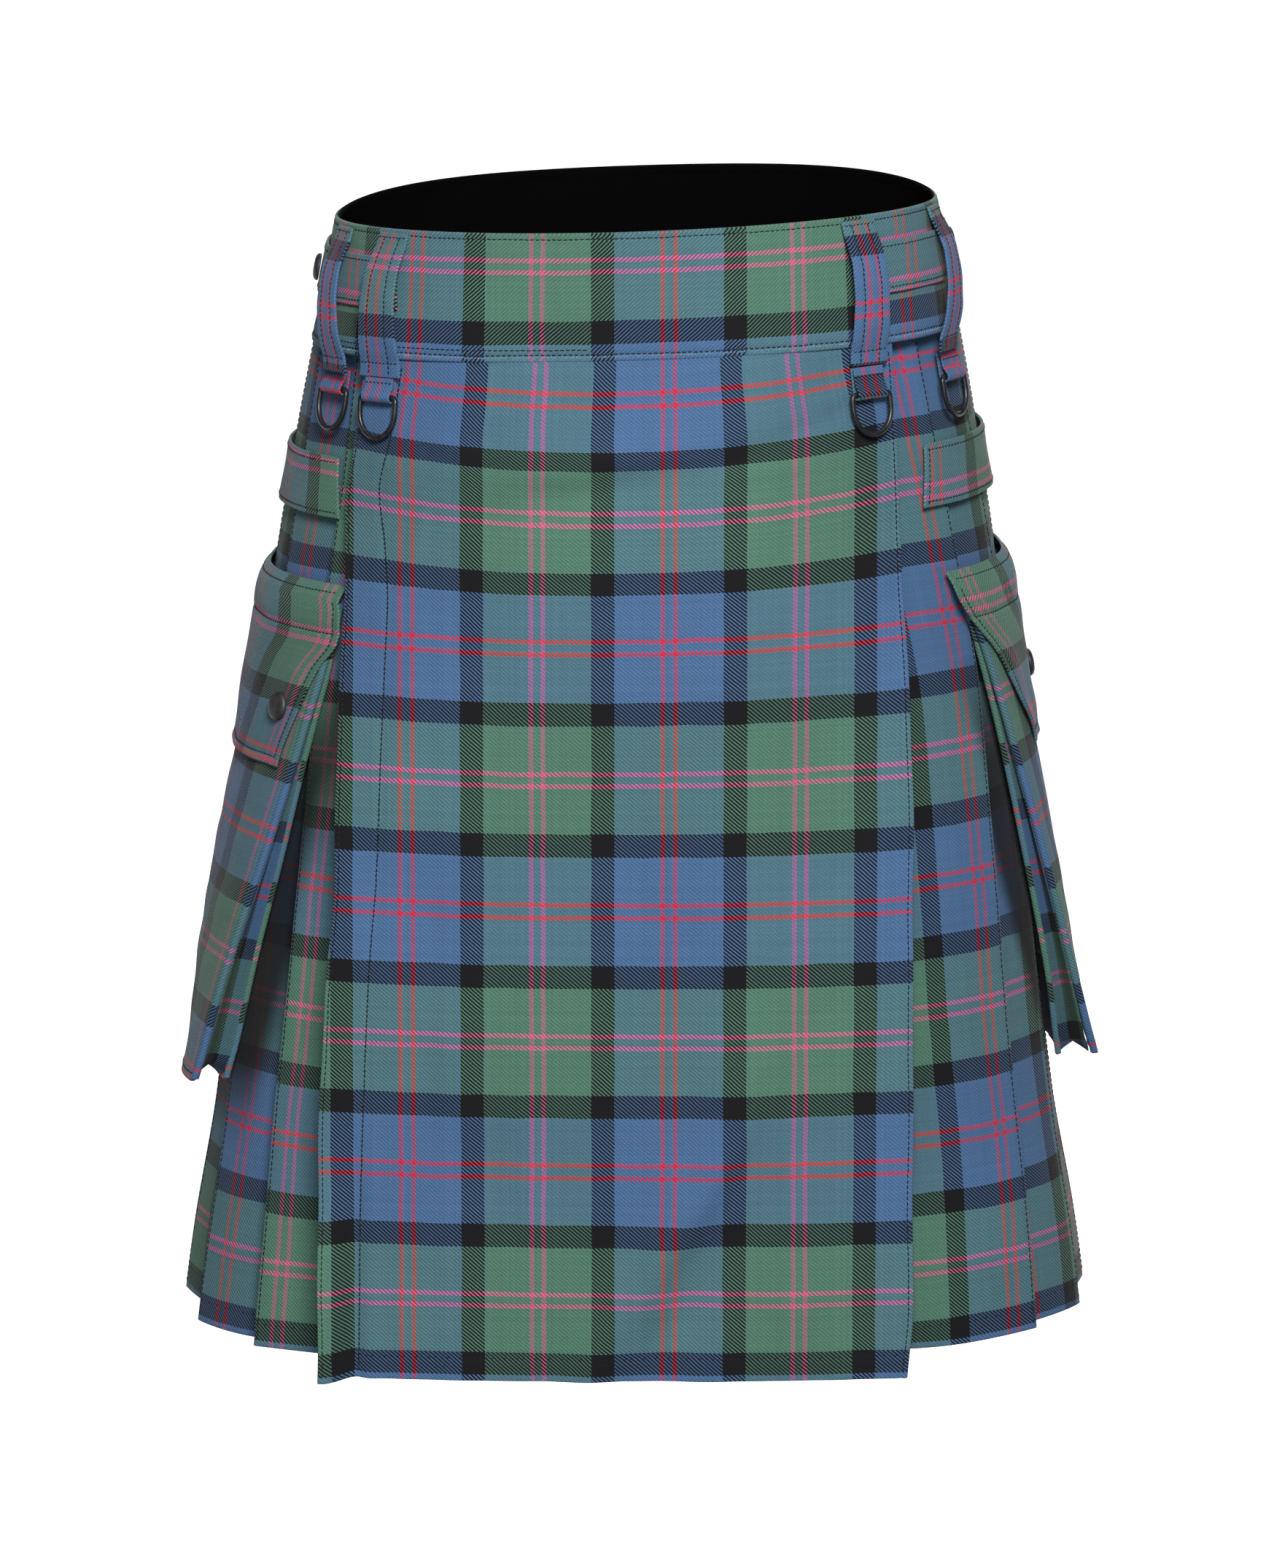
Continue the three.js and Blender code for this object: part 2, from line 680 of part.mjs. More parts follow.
function flapPoint(side, u, z, n = 0) {
  // the left flap's rear corner has turned outwards
  const flip = side < 0 ? 14 * smooth((u - 0.66) / 0.34) * smooth((-z - 200) / 50) : 0;
  const plan = skirtPlan(side, z);
  const s0 = plan.sAtY(at(POCKETS, side > 0 ? "flapR" : "flapL", z)),
    s1 = plan.sAtY(at(POCKETS, "rear", z)) + 2.5;
  const [x, y] = plan.point(s0 + (s1 - s0) * u, at(POCKETS, "flap", z) + flip + n);
  return lie(x, y, z);
}
function pocketFlap(side) {
  const heights = [POCKET.flapTop, -166, -170, -187, -205, -232, POCKET.flapBottom];
  const grid = heights.map((z) => steps(0, 1, 10).map((u) => flapPoint(side, u, z)));
  return wall(grid, 1.6);
}

// Snap cap: a low dome, its flat base on the cloth. The place is a point and the direction out of the cloth.
function snap(p, out, radius = SNAP.radius, height = SNAP.height) {
  const profile = [
    [0, 0],
    [radius * 0.94, 0],
    [radius, height * 0.25],
    [radius * 0.93, height * 0.62],
    [radius * 0.6, height * 0.95],
    [0, height],
  ].map(([x, y]) => new THREE.Vector2(x, y));
  const g = new THREE.LatheGeometry(profile, 14);
  g.deleteAttribute("uv");
  const turn = new THREE.Quaternion().setFromUnitVectors(new THREE.Vector3(0, 1, 0), out);
  g.applyQuaternion(turn);
  g.translate(p.x, p.y, p.z);
  return g;
}
function outward(p, across, up, side) {
  const n = across.cross(up).normalize();
  if (n.x * side < 0) n.negate();
  return n;
}
function flapSnap(side, u) {
  const z = -227.5,
    point = (du, dz) => flapPoint(side, u + du, z + dz);
  const out = outward(
    null,
    point(0.04, 0).sub(point(-0.04, 0)),
    point(0, 8).sub(point(0, -8)),
    side,
  );
  return snap(point(0, 0).addScaledVector(out, u > 0.5 && side < 0 ? 2.6 : 1.5), out);
}
function waistSnap(side) {
  const z = 7,
    y = side > 0 ? 18 : -8;
  const point = (ds, dz, n) => {
    const plan = bandPlan(side, z + dz);
    const [px, py] = plan.point(plan.sAtY(y) + ds, n);
    return lie(px, py, z + dz);
  };
  const n = STRAP_OUT + WALL_STRAP / 2;
  const out = outward(null, point(4, 0, n).sub(point(-4, 0, n)), point(0, 5, n).sub(point(0, -5, n)), side);
  return snap(point(0, 0, n).addScaledVector(out, 0.55), out, 7.6, 3.4);
}

// ---------------------------------------------------------------- materials
const tartan = (color) => new THREE.MeshStandardMaterial({ color, roughness: 0.92, metalness: 0 });
const CLOTH = {
  teal: tartan(0x4d8286),
  blue: tartan(0x4f79ab),
  green: tartan(0x4f8763),
  dark: tartan(0x2c3a52),
};
const BLACK_METAL = new THREE.MeshStandardMaterial({ color: 0x17181b, roughness: 0.38, metalness: 0.75 });

// ---------------------------------------------------------------- scene graph
const kilt = new THREE.Group();
const skirt = new THREE.Group();
const hardware = new THREE.Group();
const pockets = new THREE.Group();
kilt.add(skirt, hardware, pockets);

function piece(group, name, geometry, material) {
  const mesh = new THREE.Mesh(geometry, material);
  mesh.name = name;
  group.add(mesh);
  return mesh;
}
piece(skirt, "waistband", waistband(), CLOTH.teal);
piece(skirt, "front_apron", frontApron(), CLOTH.teal);
piece(skirt, "under_apron", underApron(), CLOTH.dark);
for (const [side, word] of [
  [1, "right"],
  [-1, "left"],
]) {
  piece(skirt, "pleats_" + word + "_front", pleats(side, 0), CLOTH.blue);
  piece(skirt, "pleats_" + word + "_rear", pleats(side, 1), CLOTH.blue);
}
for (const row of LOOPS) {
  piece(skirt, "belt_loop_" + row.name, beltLoop(row), CLOTH.blue);
  if (row.behind) continue;
  piece(skirt, "ring_tab_" + row.name, ringTab(row), CLOTH.teal);
  const ring = piece(hardware, "d_ring_" + row.name, dRing(row), BLACK_METAL);
  // the ring swings outwards about the middle of its bar
  const f = ringPlace(row);
  ring.userData.hinge = {
    at: f.at.clone().addScaledVector(f.out, BAR_OUT).toArray(),
    axis: f.across.clone().negate().toArray(),
  };
}
for (const [side, word] of [
  [-1, "left"],
  [1, "right"],
]) {
  piece(skirt, "waist_strap_" + word, waistStrap(side), CLOTH.teal);
  piece(hardware, "waist_snap_" + word, waistSnap(side), BLACK_METAL);
  piece(skirt, "hip_strap_" + word, hipStrap(side), CLOTH.green);
  piece(pockets, "pocket_back_" + word, pocketBack(side), CLOTH.blue);
  piece(pockets, "pocket_gusset_" + word, pocketGusset(side), CLOTH.dark);
  piece(pockets, "pocket_front_" + word, pocketFront(side), CLOTH.teal);
  piece(pockets, "pocket_flap_" + word, pocketFlap(side), CLOTH.green);
  piece(hardware, "flap_snap_front_" + word, flapSnap(side, side < 0 ? 0.09 : 0.52), BLACK_METAL);
  piece(hardware, "flap_snap_rear_" + word, flapSnap(side, 0.8), BLACK_METAL);
}

export default kilt;
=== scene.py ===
import bpy
import json
import math
import numpy as np
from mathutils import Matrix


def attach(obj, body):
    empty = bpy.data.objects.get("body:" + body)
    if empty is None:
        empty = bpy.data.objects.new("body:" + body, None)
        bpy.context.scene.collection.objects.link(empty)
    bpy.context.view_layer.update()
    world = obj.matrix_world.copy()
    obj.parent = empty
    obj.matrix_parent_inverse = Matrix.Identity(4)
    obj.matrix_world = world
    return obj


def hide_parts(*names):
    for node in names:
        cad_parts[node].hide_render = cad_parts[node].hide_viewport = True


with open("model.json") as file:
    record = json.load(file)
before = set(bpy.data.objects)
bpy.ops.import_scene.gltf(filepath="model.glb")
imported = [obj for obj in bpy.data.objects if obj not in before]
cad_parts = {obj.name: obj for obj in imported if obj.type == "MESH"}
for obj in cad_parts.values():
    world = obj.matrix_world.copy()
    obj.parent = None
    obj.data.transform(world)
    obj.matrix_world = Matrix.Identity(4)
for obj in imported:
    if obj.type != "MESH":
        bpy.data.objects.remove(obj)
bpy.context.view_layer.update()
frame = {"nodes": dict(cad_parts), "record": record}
MM = 0.001
SCENE = bpy.context.scene

# ------------------------------------------------------------------ sizes, as in the frame
SEAM = 0.3
BAND_TOP, BAND_BOTTOM, HEM = 34.0, -32.0, -576.0
PLEATS, JOIN = 9, 4
STRAP_OUT = 3.4
RING = dict(width=27.5, wire=3.0, drop=22.0, corner=2.6)
POCKET = dict(top=-168.0, bottom=-442.0, flap_top=-158.0, flap_bottom=-260.0)
SETT = 140.0  # one repeat of the check, both ways
RIB_U, RIB_V = 2.39, 2.08  # spacing of the twill's ribs across and down


# ------------------------------------------------------------------ tables
def slopes(x, y):
    h = np.diff(x)
    d = np.diff(y) / h
    m = np.zeros(len(x))
    for i in range(1, len(x) - 1):
        if d[i - 1] * d[i] > 0:
            a, b = 2 * h[i] + h[i - 1], h[i] + 2 * h[i - 1]
            m[i] = (a + b) / (a / d[i - 1] + b / d[i])
    m[0], m[-1] = d[0], d[-1]
    return m


class Table:
    """Rows from the top down; a value between rows lies on a smooth curve through them."""

    def __init__(self, names, rows):
        rows = np.array(rows, float)
        self.z = -rows[:, 0]
        self.cols = {n: (rows[:, i + 1], slopes(self.z, rows[:, i + 1])) for i, n in enumerate(names[1:])}

    def __call__(self, name, z):
        x = np.clip(-np.asarray(z, float), self.z[0], self.z[-1])
        y, m = self.cols[name]
        i = np.clip(np.searchsorted(self.z, x) - 1, 0, len(self.z) - 2)
        h = self.z[i + 1] - self.z[i]
        t = (x - self.z[i]) / h
        return (
            (2 * t**3 - 3 * t**2 + 1) * y[i]
            + (t**3 - 2 * t**2 + t) * h * m[i]
            + (-2 * t**3 + 3 * t**2) * y[i + 1]
            + (t**3 - t**2) * h * m[i + 1]
        )


BAND = Table(
    ["z", "half", "front", "power", "back"],
    [
        [34, 163.5, 123.5, 2.0, 130.5],
        [0, 169.5, 127, 2.15, 136],
        [-32, 176.5, 130, 2.3, 141],
        [-62, 182.4, 136, 2.3, 147],
    ],
)
SKIRT = Table(
    ["z", "half", "frontR", "powerR", "frontL", "powerL", "back"],
    [
        [-32, 176.5, 124, 2.0, 124, 2.0, 141],
        [-70, 184, 131, 2.0, 131, 2.0, 150],
        [-115, 192, 138, 2.0, 138, 2.0, 158],
        [-160, 199.7, 145, 2.0, 145, 2.0, 165],
        [-220, 207, 150, 2.0, 151, 2.05, 170],
        [-300, 216, 155, 2.1, 159, 2.15, 175],
        [-380, 225, 159, 2.2, 168, 2.3, 179],
        [-467, 236, 163, 2.3, 177, 2.45, 183],
        [-540, 249, 167, 2.4, 184, 2.55, 187],
        [-576, 254, 168, 2.4, 187, 2.6, 188],
    ],
)
FOLDS = Table(
    ["z", "standR", "standL", "layer", "hidden", "edgeR", "edgeL"],
    [
        [-32, 5.6, 5.6, 1.9, 12, 150, 150],
        [-100, 6.0, 6.0, 1.9, 13, 164, 158],
        [-160, 7.5, 8.0, 2.2, 15, 176, 167],
        [-225, 9, 10, 2.5, 17, 187, 174],
        [-322, 11, 13, 2.8, 19, 197, 184],
        [-434, 13, 17, 3.0, 20, 207.5, 196],
        [-511, 14.5, 20, 3.0, 20, 216, 203],
        [-576, 16, 22, 3.0, 20, 221, 208.8],
    ],
)
APRON = Table(
    ["z", "left", "right", "front", "fallL", "fallR", "power"],
    [
        [-32.3, -143, 136, 130, 51, 51, 2.64],
        [-70, -150, 139, 140, 55, 55, 2.6],
        [-115, -156, 141, 150, 56, 56, 2.5],
        [-160, -157, 143, 156, 47, 47, 2.45],
        [-220, -159, 146, 163, 34, 32, 2.4],
        [-300, -161, 148, 172, 20, 18, 2.3],
        [-380, -167, 148, 180, 15, 14, 2.2],
        [-467, -170, 148, 187, 12, 12, 2.1],
        [-540, -171, 149, 193, 10, 10, 2.0],
        [-576, -171, 146, 195, 8, 8, 2.0],
    ],
)
# large soft folds of the apron: middle x and z, direction in degrees, half length, half width, height
APRON_FOLDS = [
    (-20, -84, 6, 75, 12, 3.2),
    (-15, -101, 8, 80, 12, -3.4),
    (12, -512, 62, 62, 13, 4.2),
    (30, -530, 62, 70, 16, -4.0),
    (60, -430, 84, 70, 26, 3.0),
]
# smaller creases
APRON_CREASES = [
    (-96, -78, -14, 34, 5, 1.2),
    (-58, -64, 20, 26, 5, -0.9),
    (96, -70, 18, 36, 6, -1.2),
    (70, -92, 8, 34, 6, 1.1),
    (-118, -130, 72, 40, 5, 0.9),
    (20, -150, 4, 70, 16, 1.0),
    (-60, -230, 78, 60, 14, 0.9),
    (100, -250, 86, 70, 16, -1.0),
    (-30, -330, 96, 80, 18, -0.9),
    (-95, -420, 80, 80, 14, 1.1),
    (-70, -480, 95, 60, 12, -1.0),
    (60, -490, 84, 46, 9, -1.3),
    (95, -520, 78, 50, 10, 1.2),
    (-20, -560, 70, 24, 8, 1.2),
    (42, -472, 60, 40, 7, 1.2),
    (58, -458, 62, 46, 7, -1.1),
    (130, -360, 92, 80, 9, 0.8),
]
LIE = Table(
    ["z", "tilt", "rise"],
    [
        [34, 0.033, 6.7],
        [-32, 0.031, 6.2],
        [-115, 0.022, 4.2],
        [-220, 0.011, 2],
        [-350, 0, 0],
        [-580, 0, 0],
    ],
)
# name, x at top and bottom, width at top and bottom, height of the ring's bar, at the back or not
LOOPS = [
    ("1", -154.5, -159.5, 18, 22, -53.5, False),
    ("2", -127.5, -135, 20, 27, -53.5, False),
    ("3", 116.5, 122.5, 21, 22, -57.5, False),
    ("4", 158.5, 166, 18, 21, -57, False),
    ("back_1", -92, -98, 22, 23, 0, True),
    ("back_2", 0, 0, 22, 23, 0, True),
    ("back_3", 92, 98, 22, 23, 0, True),
]
LOOP_PROFILE = Table(
    ["z", "out"],
    [
        [32.5, 2.9],
        [27.5, 3.8],
        [21, 6.4],
        [10, 10.2],
        [-4, 11.5],
        [-17, 10.6],
        [-27, 8],
        [-34.5, 5],
        [-41.5, 3.6],
    ],
)
POCKETS = Table(
    ["z", "frontL", "frontR", "rear", "backL", "backR", "panel", "flap", "flapL", "flapR"],
    [
        [-158, -92, -77, 80, 3.2, 3.0, 5.2, 3.2, -92, -81],
        [-166, -92, -76, 80, 3.2, 3.0, 5.3, 7.4, -92, -81],
        [-170, -92, -75, 80, 3.2, 3.0, 5.4, 7.9, -94, -80.5],
        [-187, -92.3, -70.5, 80, 3.2, 3.0, 6.3, 8.7, -96, -72],
        [-205, -92, -66, 80, 3.2, 3.0, 7.2, 9.6, -89.5, -58.5],
        [-232, -90, -60, 80, 3.2, 3.1, 8.6, 11.1, -84.5, -45],
        [-260, -88, -55, 80, 3.2, 3.2, 10.0, 12.6, -79, -27],
        [-316, -84.5, -47, 79, 3.2, 4.4, 14.6, 17, -79, -27],
        [-395, -76, -31, 77, 3.2, 5.8, 20.4, 22, -79, -27],
        [-442, -72, -20, 76, 5.0, 4.6, 24, 26, -79, -27],
    ],
)
# x of the stitched line of the apron's left facing
FACING = Table(
    ["z", "x"],
    [
        [-33, -124],
        [-75, -131],
        [-104, -137],
        [-133, -134],
        [-160, -132.5],
        [-190, -133.7],
        [-240, -136],
        [-305, -138.5],
        [-355, -142.5],
        [-430, -146],
        [-500, -148],
        [-576, -149],
    ],
)
# where the check stands on each visible pleat: the warp coordinate at its fold edge, counted from a red pair
PLEAT_SETT = {1: [16, 47, 78, 109, 140, 171, 202, 233, 264], -1: [56, -21, -66, -111, -156, -201, -246, -291, -336]}


def smooth(x):
    t = np.clip(x, 0, 1)
    return t * t * (3 - 2 * t)


def bump(x, z, folds):
    h = 0.0
    for fx, fz, turn, long, wide, high in folds:
        w = math.radians(turn)
        dx, dz = x - fx, z - fz
        u = (dx * math.cos(w) + dz * math.sin(w)) / long
        v = (-dx * math.sin(w) + dz * math.cos(w)) / wide
        h = h + high * np.exp(-u * u - v * v)
    return h


def ripple(a, b, seed, size):
    """A soft uneven surface of about the given wavelength, between -1 and 1, the same on every run."""
    r = np.random.default_rng(seed)
    h = 0.0
    for _ in range(7):
        w, k, p = r.uniform(0, 2 * math.pi), 2 * math.pi / (size * r.uniform(0.6, 1.7)), r.uniform(0, 6.28)
        h = h + np.sin((a * math.cos(w) + b * math.sin(w)) * k + p)
    return h / 4


# ------------------------------------------------------------------ plan curves
class Plan:
    N = 360

    def __init__(self, side, half, front, power, back):
        self.side = side
        w = np.linspace(0, math.pi, self.N + 1)
        ahead = w < math.pi / 2
        p = np.where(ahead, power, 2.15)
        depth = np.where(ahead, front, back)
        self.x = half * np.abs(np.sin(w)) ** (2 / p)
        self.y = -np.sign(np.cos(w)) * depth * np.abs(np.cos(w)) ** (2 / p)
        self.x[0] = self.x[-1] = 0
        self.cum = np.concatenate([[0], np.cumsum(np.hypot(np.diff(self.x), np.diff(self.y)))])
        self.length = self.cum[-1]

    def raw(self, s):
        x, y = np.interp(s, self.cum, self.x), np.interp(s, self.cum, self.y)
        x = np.where(s <= 0, s, np.where(s >= self.length, self.length - s, x))
        return x, y

    def point(self, s, n=0.0):
        s = np.asarray(s, float)
        (ax, ay), (bx, by), (x, y) = self.raw(s - 4), self.raw(s + 4), self.raw(s)
        tx, ty = bx - ax, by - ay
        q = np.hypot(tx, ty)
        return self.side * (x + n * ty / q), y - n * tx / q

    def at_x(self, x):
        h = self.N // 2
        return np.interp(abs(x), self.x[: h + 1], self.cum[: h + 1])

    def at_y(self, y):
        return np.interp(y, self.y, self.cum)


_plans = {}


def plan(kind, side, z):
    key = (kind, side, round(float(z), 3))
    if key not in _plans:
        if kind == "band":
            _plans[key] = Plan(side, *(float(BAND(c, z)) for c in ("half", "front", "power", "back")))
        else:
            k = "R" if side > 0 else "L"
            _plans[key] = Plan(side, *(float(SKIRT(c, z)) for c in ("half", "front" + k, "power" + k, "back")))
    return _plans[key]


def lie(x, y, z):
    x, y, z = np.broadcast_arrays(np.asarray(x, float), np.asarray(y, float), np.asarray(z, float))
    back = smooth((y + 10) / 140)
    return np.stack([x, y, z + LIE("tilt", z) * x + LIE("rise", z) * back], -1)


def weft(z, x=0.0):
    """How far down the check's repeat a height of the skirt is, from a red pair."""
    z = np.asarray(z, float)
    tuck = 3 * smooth((z + 182) / 67) + 8 * smooth((z + 108) / 46)
    sag = 6.0 * smooth((z + 200) / 140) * np.minimum(np.abs(x) / 120, 1.25) ** 2
    return -z - 42 - tuck + sag


# ------------------------------------------------------------------ materials
def lin(r, g, b):
    f = lambda c: (c / 255) / 12.92 if c <= 10 else ((c / 255 + 0.055) / 1.055) ** 2.4
    return (f(r), f(g), f(b), 1.0)


YARN = dict(
    blue=(0.050, 0.108, 0.216, 1),
    green=(0.060, 0.142, 0.102, 1),
    black=(0.0030, 0.0028, 0.0050, 1),
    red=(0.45, 0.016, 0.044, 1),
    pink=(0.46, 0.082, 0.170, 1),
)


class Tree:
    def __init__(self, name):
        self.m = bpy.data.materials.new(name)
        self.m.use_nodes = True
        self.t = self.m.node_tree
        self.t.nodes.clear()
        self.out = self.t.nodes.new("ShaderNodeOutputMaterial")
        self.bsdf = self.t.nodes.new("ShaderNodeBsdfPrincipled")
        self.t.links.new(self.bsdf.outputs[0], self.out.inputs[0])

    def node(self, kind, **props):
        n = self.t.nodes.new("ShaderNode" + kind)
        for k, v in props.items():
            setattr(n, k, v)
        return n

    def link(self, a, b):
        self.t.links.new(a, b)

    def put(self, n, i, v):
        if hasattr(v, "links"):
            self.link(v, n.inputs[i])
        else:
            n.inputs[i].default_value = v

    def math(self, op, a, b=None, c=None):
        n = self.node("Math", operation=op)
        self.put(n, 0, a)
        if b is not None:
            self.put(n, 1, b)
        if c is not None:
            self.put(n, 2, c)
        return n.outputs[0]

    def mix(self, f, a, b, blend="MIX"):
        n = self.node("Mix", data_type="RGBA", blend_type=blend)
        self.put(n, 0, f)
        self.put(n, 6, a)
        self.put(n, 7, b)
        return n.outputs[2]

    def noise(self, vec, scale, detail=2.0, rough=0.5, dims="3D"):
        n = self.node("TexNoise", noise_dimensions=dims)
        if vec is not None:
            self.link(vec, n.inputs["Vector"])
        n.inputs["Scale"].default_value = scale
        n.inputs["Detail"].default_value = detail
        n.inputs["Roughness"].default_value = rough
        return n.outputs[0]

    def ramp(self, f, stops, constant=False):
        n = self.node("ValToRGB")
        r = n.color_ramp
        r.interpolation = "CONSTANT" if constant else "LINEAR"
        while len(r.elements) > 1:
            r.elements.remove(r.elements[-1])
        r.elements[0].position, r.elements[0].color = stops[0]
        for p, c in stops[1:]:
            r.elements.new(p).color = c
        self.link(f, n.inputs[0])
        return n.outputs[0]


STOPS = [
    (0.0, "blue"),
    (0.0310, "red"),
    (0.0650, "blue"),
    (0.4107, "black"),
    (0.5893, "green"),
    (0.9350, "pink"),
    (0.9690, "green"),
]


def tartan(name, shade=1.0, sheen=0.06):
    """Two-up two-down twill. The UV map holds millimetres along the weft and along the warp."""
    T = Tree(name)
    uv = T.node("UVMap", uv_map="cloth")
    sep = T.node("SeparateXYZ")
    T.link(uv.outputs[0], sep.inputs[0])
    u, v = sep.outputs[0], sep.outputs[1]
    geo = T.node("TexCoord")
    # the yarns wander a little
    wu = T.math("MULTIPLY_ADD", T.noise(uv.outputs[0], 0.035, 2), 1.3, -0.65)
    wv = T.math("MULTIPLY_ADD", T.noise(uv.outputs[0], 0.043, 2), 1.3, -0.65)
    u, v = T.math("ADD", u, wu), T.math("ADD", v, wv)
    pick = T.math("FLOOR", T.math("DIVIDE", v, RIB_V / 4))
    end = T.math("FLOOR", T.math("DIVIDE", u, RIB_U / 4))
    diag = T.math("SUBTRACT", T.math("DIVIDE", u, RIB_U), T.math("DIVIDE", v, RIB_V))
    phase = T.math("FRACT", diag)
    warp_up = T.math("LESS_THAN", phase, 0.47)
    fold_u = T.math("DIVIDE", T.math("PINGPONG", u, SETT / 2), SETT / 2)
    fold_v = T.math("DIVIDE", T.math("PINGPONG", v, SETT / 2), SETT / 2)
    stops = [(p, YARN[c]) for p, c in STOPS]
    warp = T.ramp(fold_u, stops, True)
    fill = T.ramp(fold_v, stops, True)
    col = T.mix(warp_up, fill, warp)
    # each float is round, and the weft floats stand a little higher and catch more light
    rib = T.math("SINE", T.math("MULTIPLY", T.math("FRACT", T.math("MULTIPLY", diag, 2.0)), math.pi))
    wave = T.math("COSINE", T.math("MULTIPLY", T.math("SUBTRACT", phase, 0.735), 2 * math.pi))
    rib_shade = T.math("ADD", T.math("MULTIPLY_ADD", rib, 0.44, 0.64), T.math("MULTIPLY", wave, 0.22))
    # where black crosses a colour, the coloured floats lie between black ones and look darker for it
    tone_a, tone_b = T.node("RGBToBW"), T.node("RGBToBW")
    T.link(warp, tone_a.inputs[0])
    T.link(fill, tone_b.inputs[0])
    beside = T.math("LESS_THAN", T.math("MINIMUM", tone_a.outputs[0], tone_b.outputs[0]), 0.012)
    rib_shade = T.math("MULTIPLY", rib_shade, T.math("MULTIPLY_ADD", beside, -0.20, 1.0))
    # uneven yarn: every end and pick a little different, and fuzzy fibres over all
    wn1 = T.node("TexWhiteNoise", noise_dimensions="1D")
    T.link(end, wn1.inputs["W"])
    wn2 = T.node("TexWhiteNoise", noise_dimensions="1D")
    T.link(pick, wn2.inputs["W"])
    yarn = T.math("MULTIPLY_ADD", T.math("ADD", wn1.outputs[0], wn2.outputs[0]), 0.10, 0.90)
    fuzz = T.math("MULTIPLY_ADD", T.noise(uv.outputs[0], 1.1, 3, 0.7), 0.62, 0.69)
    cloud = T.math("MULTIPLY_ADD", T.noise(geo.outputs["Object"], 9.0, 3, 0.55), 0.22, 0.89)
    lum = T.math("MULTIPLY", T.math("MULTIPLY", rib_shade, yarn), T.math("MULTIPLY", fuzz, cloud))
    # painted shade: the 'deep' attribute darkens cloth beside and under the pockets as if in their shadow, and the
    # shade factor darkens all of the shaded copy
    deep = T.node("Attribute", attribute_name="deep")
    lum = T.math("MULTIPLY", lum, T.math("MULTIPLY_ADD", deep.outputs["Fac"], -0.93 * shade, shade))
    comb = T.node("CombineXYZ")
    for i in range(3):
        T.link(lum, comb.inputs[i])
    shaded = T.mix(1.0, col, comb.outputs[0], "MULTIPLY")
    # stray lighter fibres: the black yarn isn't pure black
    hair = T.ramp(T.noise(uv.outputs[0], 2.3, 2, 0.8), [(0.60, (0, 0, 0, 1)), (0.78, (1, 1, 1, 1))])
    # the stray fibres are taken out where the pocket shade is painted; in the shaded copy the shade factor dims their
    # colour too
    hairf = T.math("MULTIPLY", T.math("MULTIPLY", hair, 0.03), T.math("MULTIPLY_ADD", deep.outputs["Fac"], -1.0, 1.0))
    final = T.mix(hairf, shaded, (0.20 * shade, 0.24 * shade, 0.27 * shade, 1))
    T.link(final, T.bsdf.inputs["Base Color"])
    T.bsdf.inputs["Roughness"].default_value = 0.86
    T.bsdf.inputs["Specular IOR Level"].default_value = 0.22
    T.bsdf.inputs["Sheen Weight"].default_value = sheen
    T.bsdf.inputs["Sheen Roughness"].default_value = 0.45
    # relief: ribs, fibres, and fine crumpling of the cloth
    b1 = T.node("Bump")
    b1.inputs["Strength"].default_value = 0.6
    b1.inputs["Distance"].default_value = 0.00018
    T.link(T.math("ADD", T.math("ADD", rib, wave), T.math("MULTIPLY", T.noise(uv.outputs[0], 2.0, 2, 0.7), 0.5)), b1.inputs["Height"])
    b2 = T.node("Bump")
    b2.inputs["Strength"].default_value = 0.5
    b2.inputs["Distance"].default_value = 0.0016
    T.link(T.noise(geo.outputs["Object"], 34.0, 3, 0.5), b2.inputs["Height"])
    T.link(b2.outputs[0], b1.inputs["Normal"])
    T.link(b1.outputs[0], T.bsdf.inputs["Normal"])
    return T.m


def facing_black():
    """The black facing inside the waist."""
    T = Tree("black_facing")
    uv = T.node("UVMap", uv_map="cloth")
    n = T.noise(uv.outputs[0], 1.4, 2, 0.6)
    T.link(T.ramp(n, [(0.3, (0.0006, 0.0006, 0.0008, 1)), (0.8, (0.0022, 0.0021, 0.0026, 1))]), T.bsdf.inputs["Base Color"])
    T.bsdf.inputs["Roughness"].default_value = 0.97
    T.bsdf.inputs["Specular IOR Level"].default_value = 0.03
    b = T.node("Bump")
    b.inputs["Strength"].default_value = 0.3
    b.inputs["Distance"].default_value = 0.0001
    T.link(n, b.inputs["Height"])
    T.link(b.outputs[0], T.bsdf.inputs["Normal"])
    return T.m


def thread(name, colour):
    T = Tree(name)
    geo = T.node("TexCoord")
    n = T.noise(geo.outputs["Object"], 900.0, 2, 0.6)
    lo = tuple(c * 0.6 for c in colour[:3]) + (1,)
    hi = tuple(min(1, c * 1.4 + 0.001) for c in colour[:3]) + (1,)
    T.link(T.ramp(n, [(0.3, lo), (0.7, hi)]), T.bsdf.inputs["Base Color"])
    T.bsdf.inputs["Roughness"].default_value = 0.7
    T.bsdf.inputs["Specular IOR Level"].default_value = 0.3
    b = T.node("Bump")
    b.inputs["Strength"].default_value = 0.4
    b.inputs["Distance"].default_value = 0.0001
    T.link(n, b.inputs["Height"])
    T.link(b.outputs[0], T.bsdf.inputs["Normal"])
    return T.m


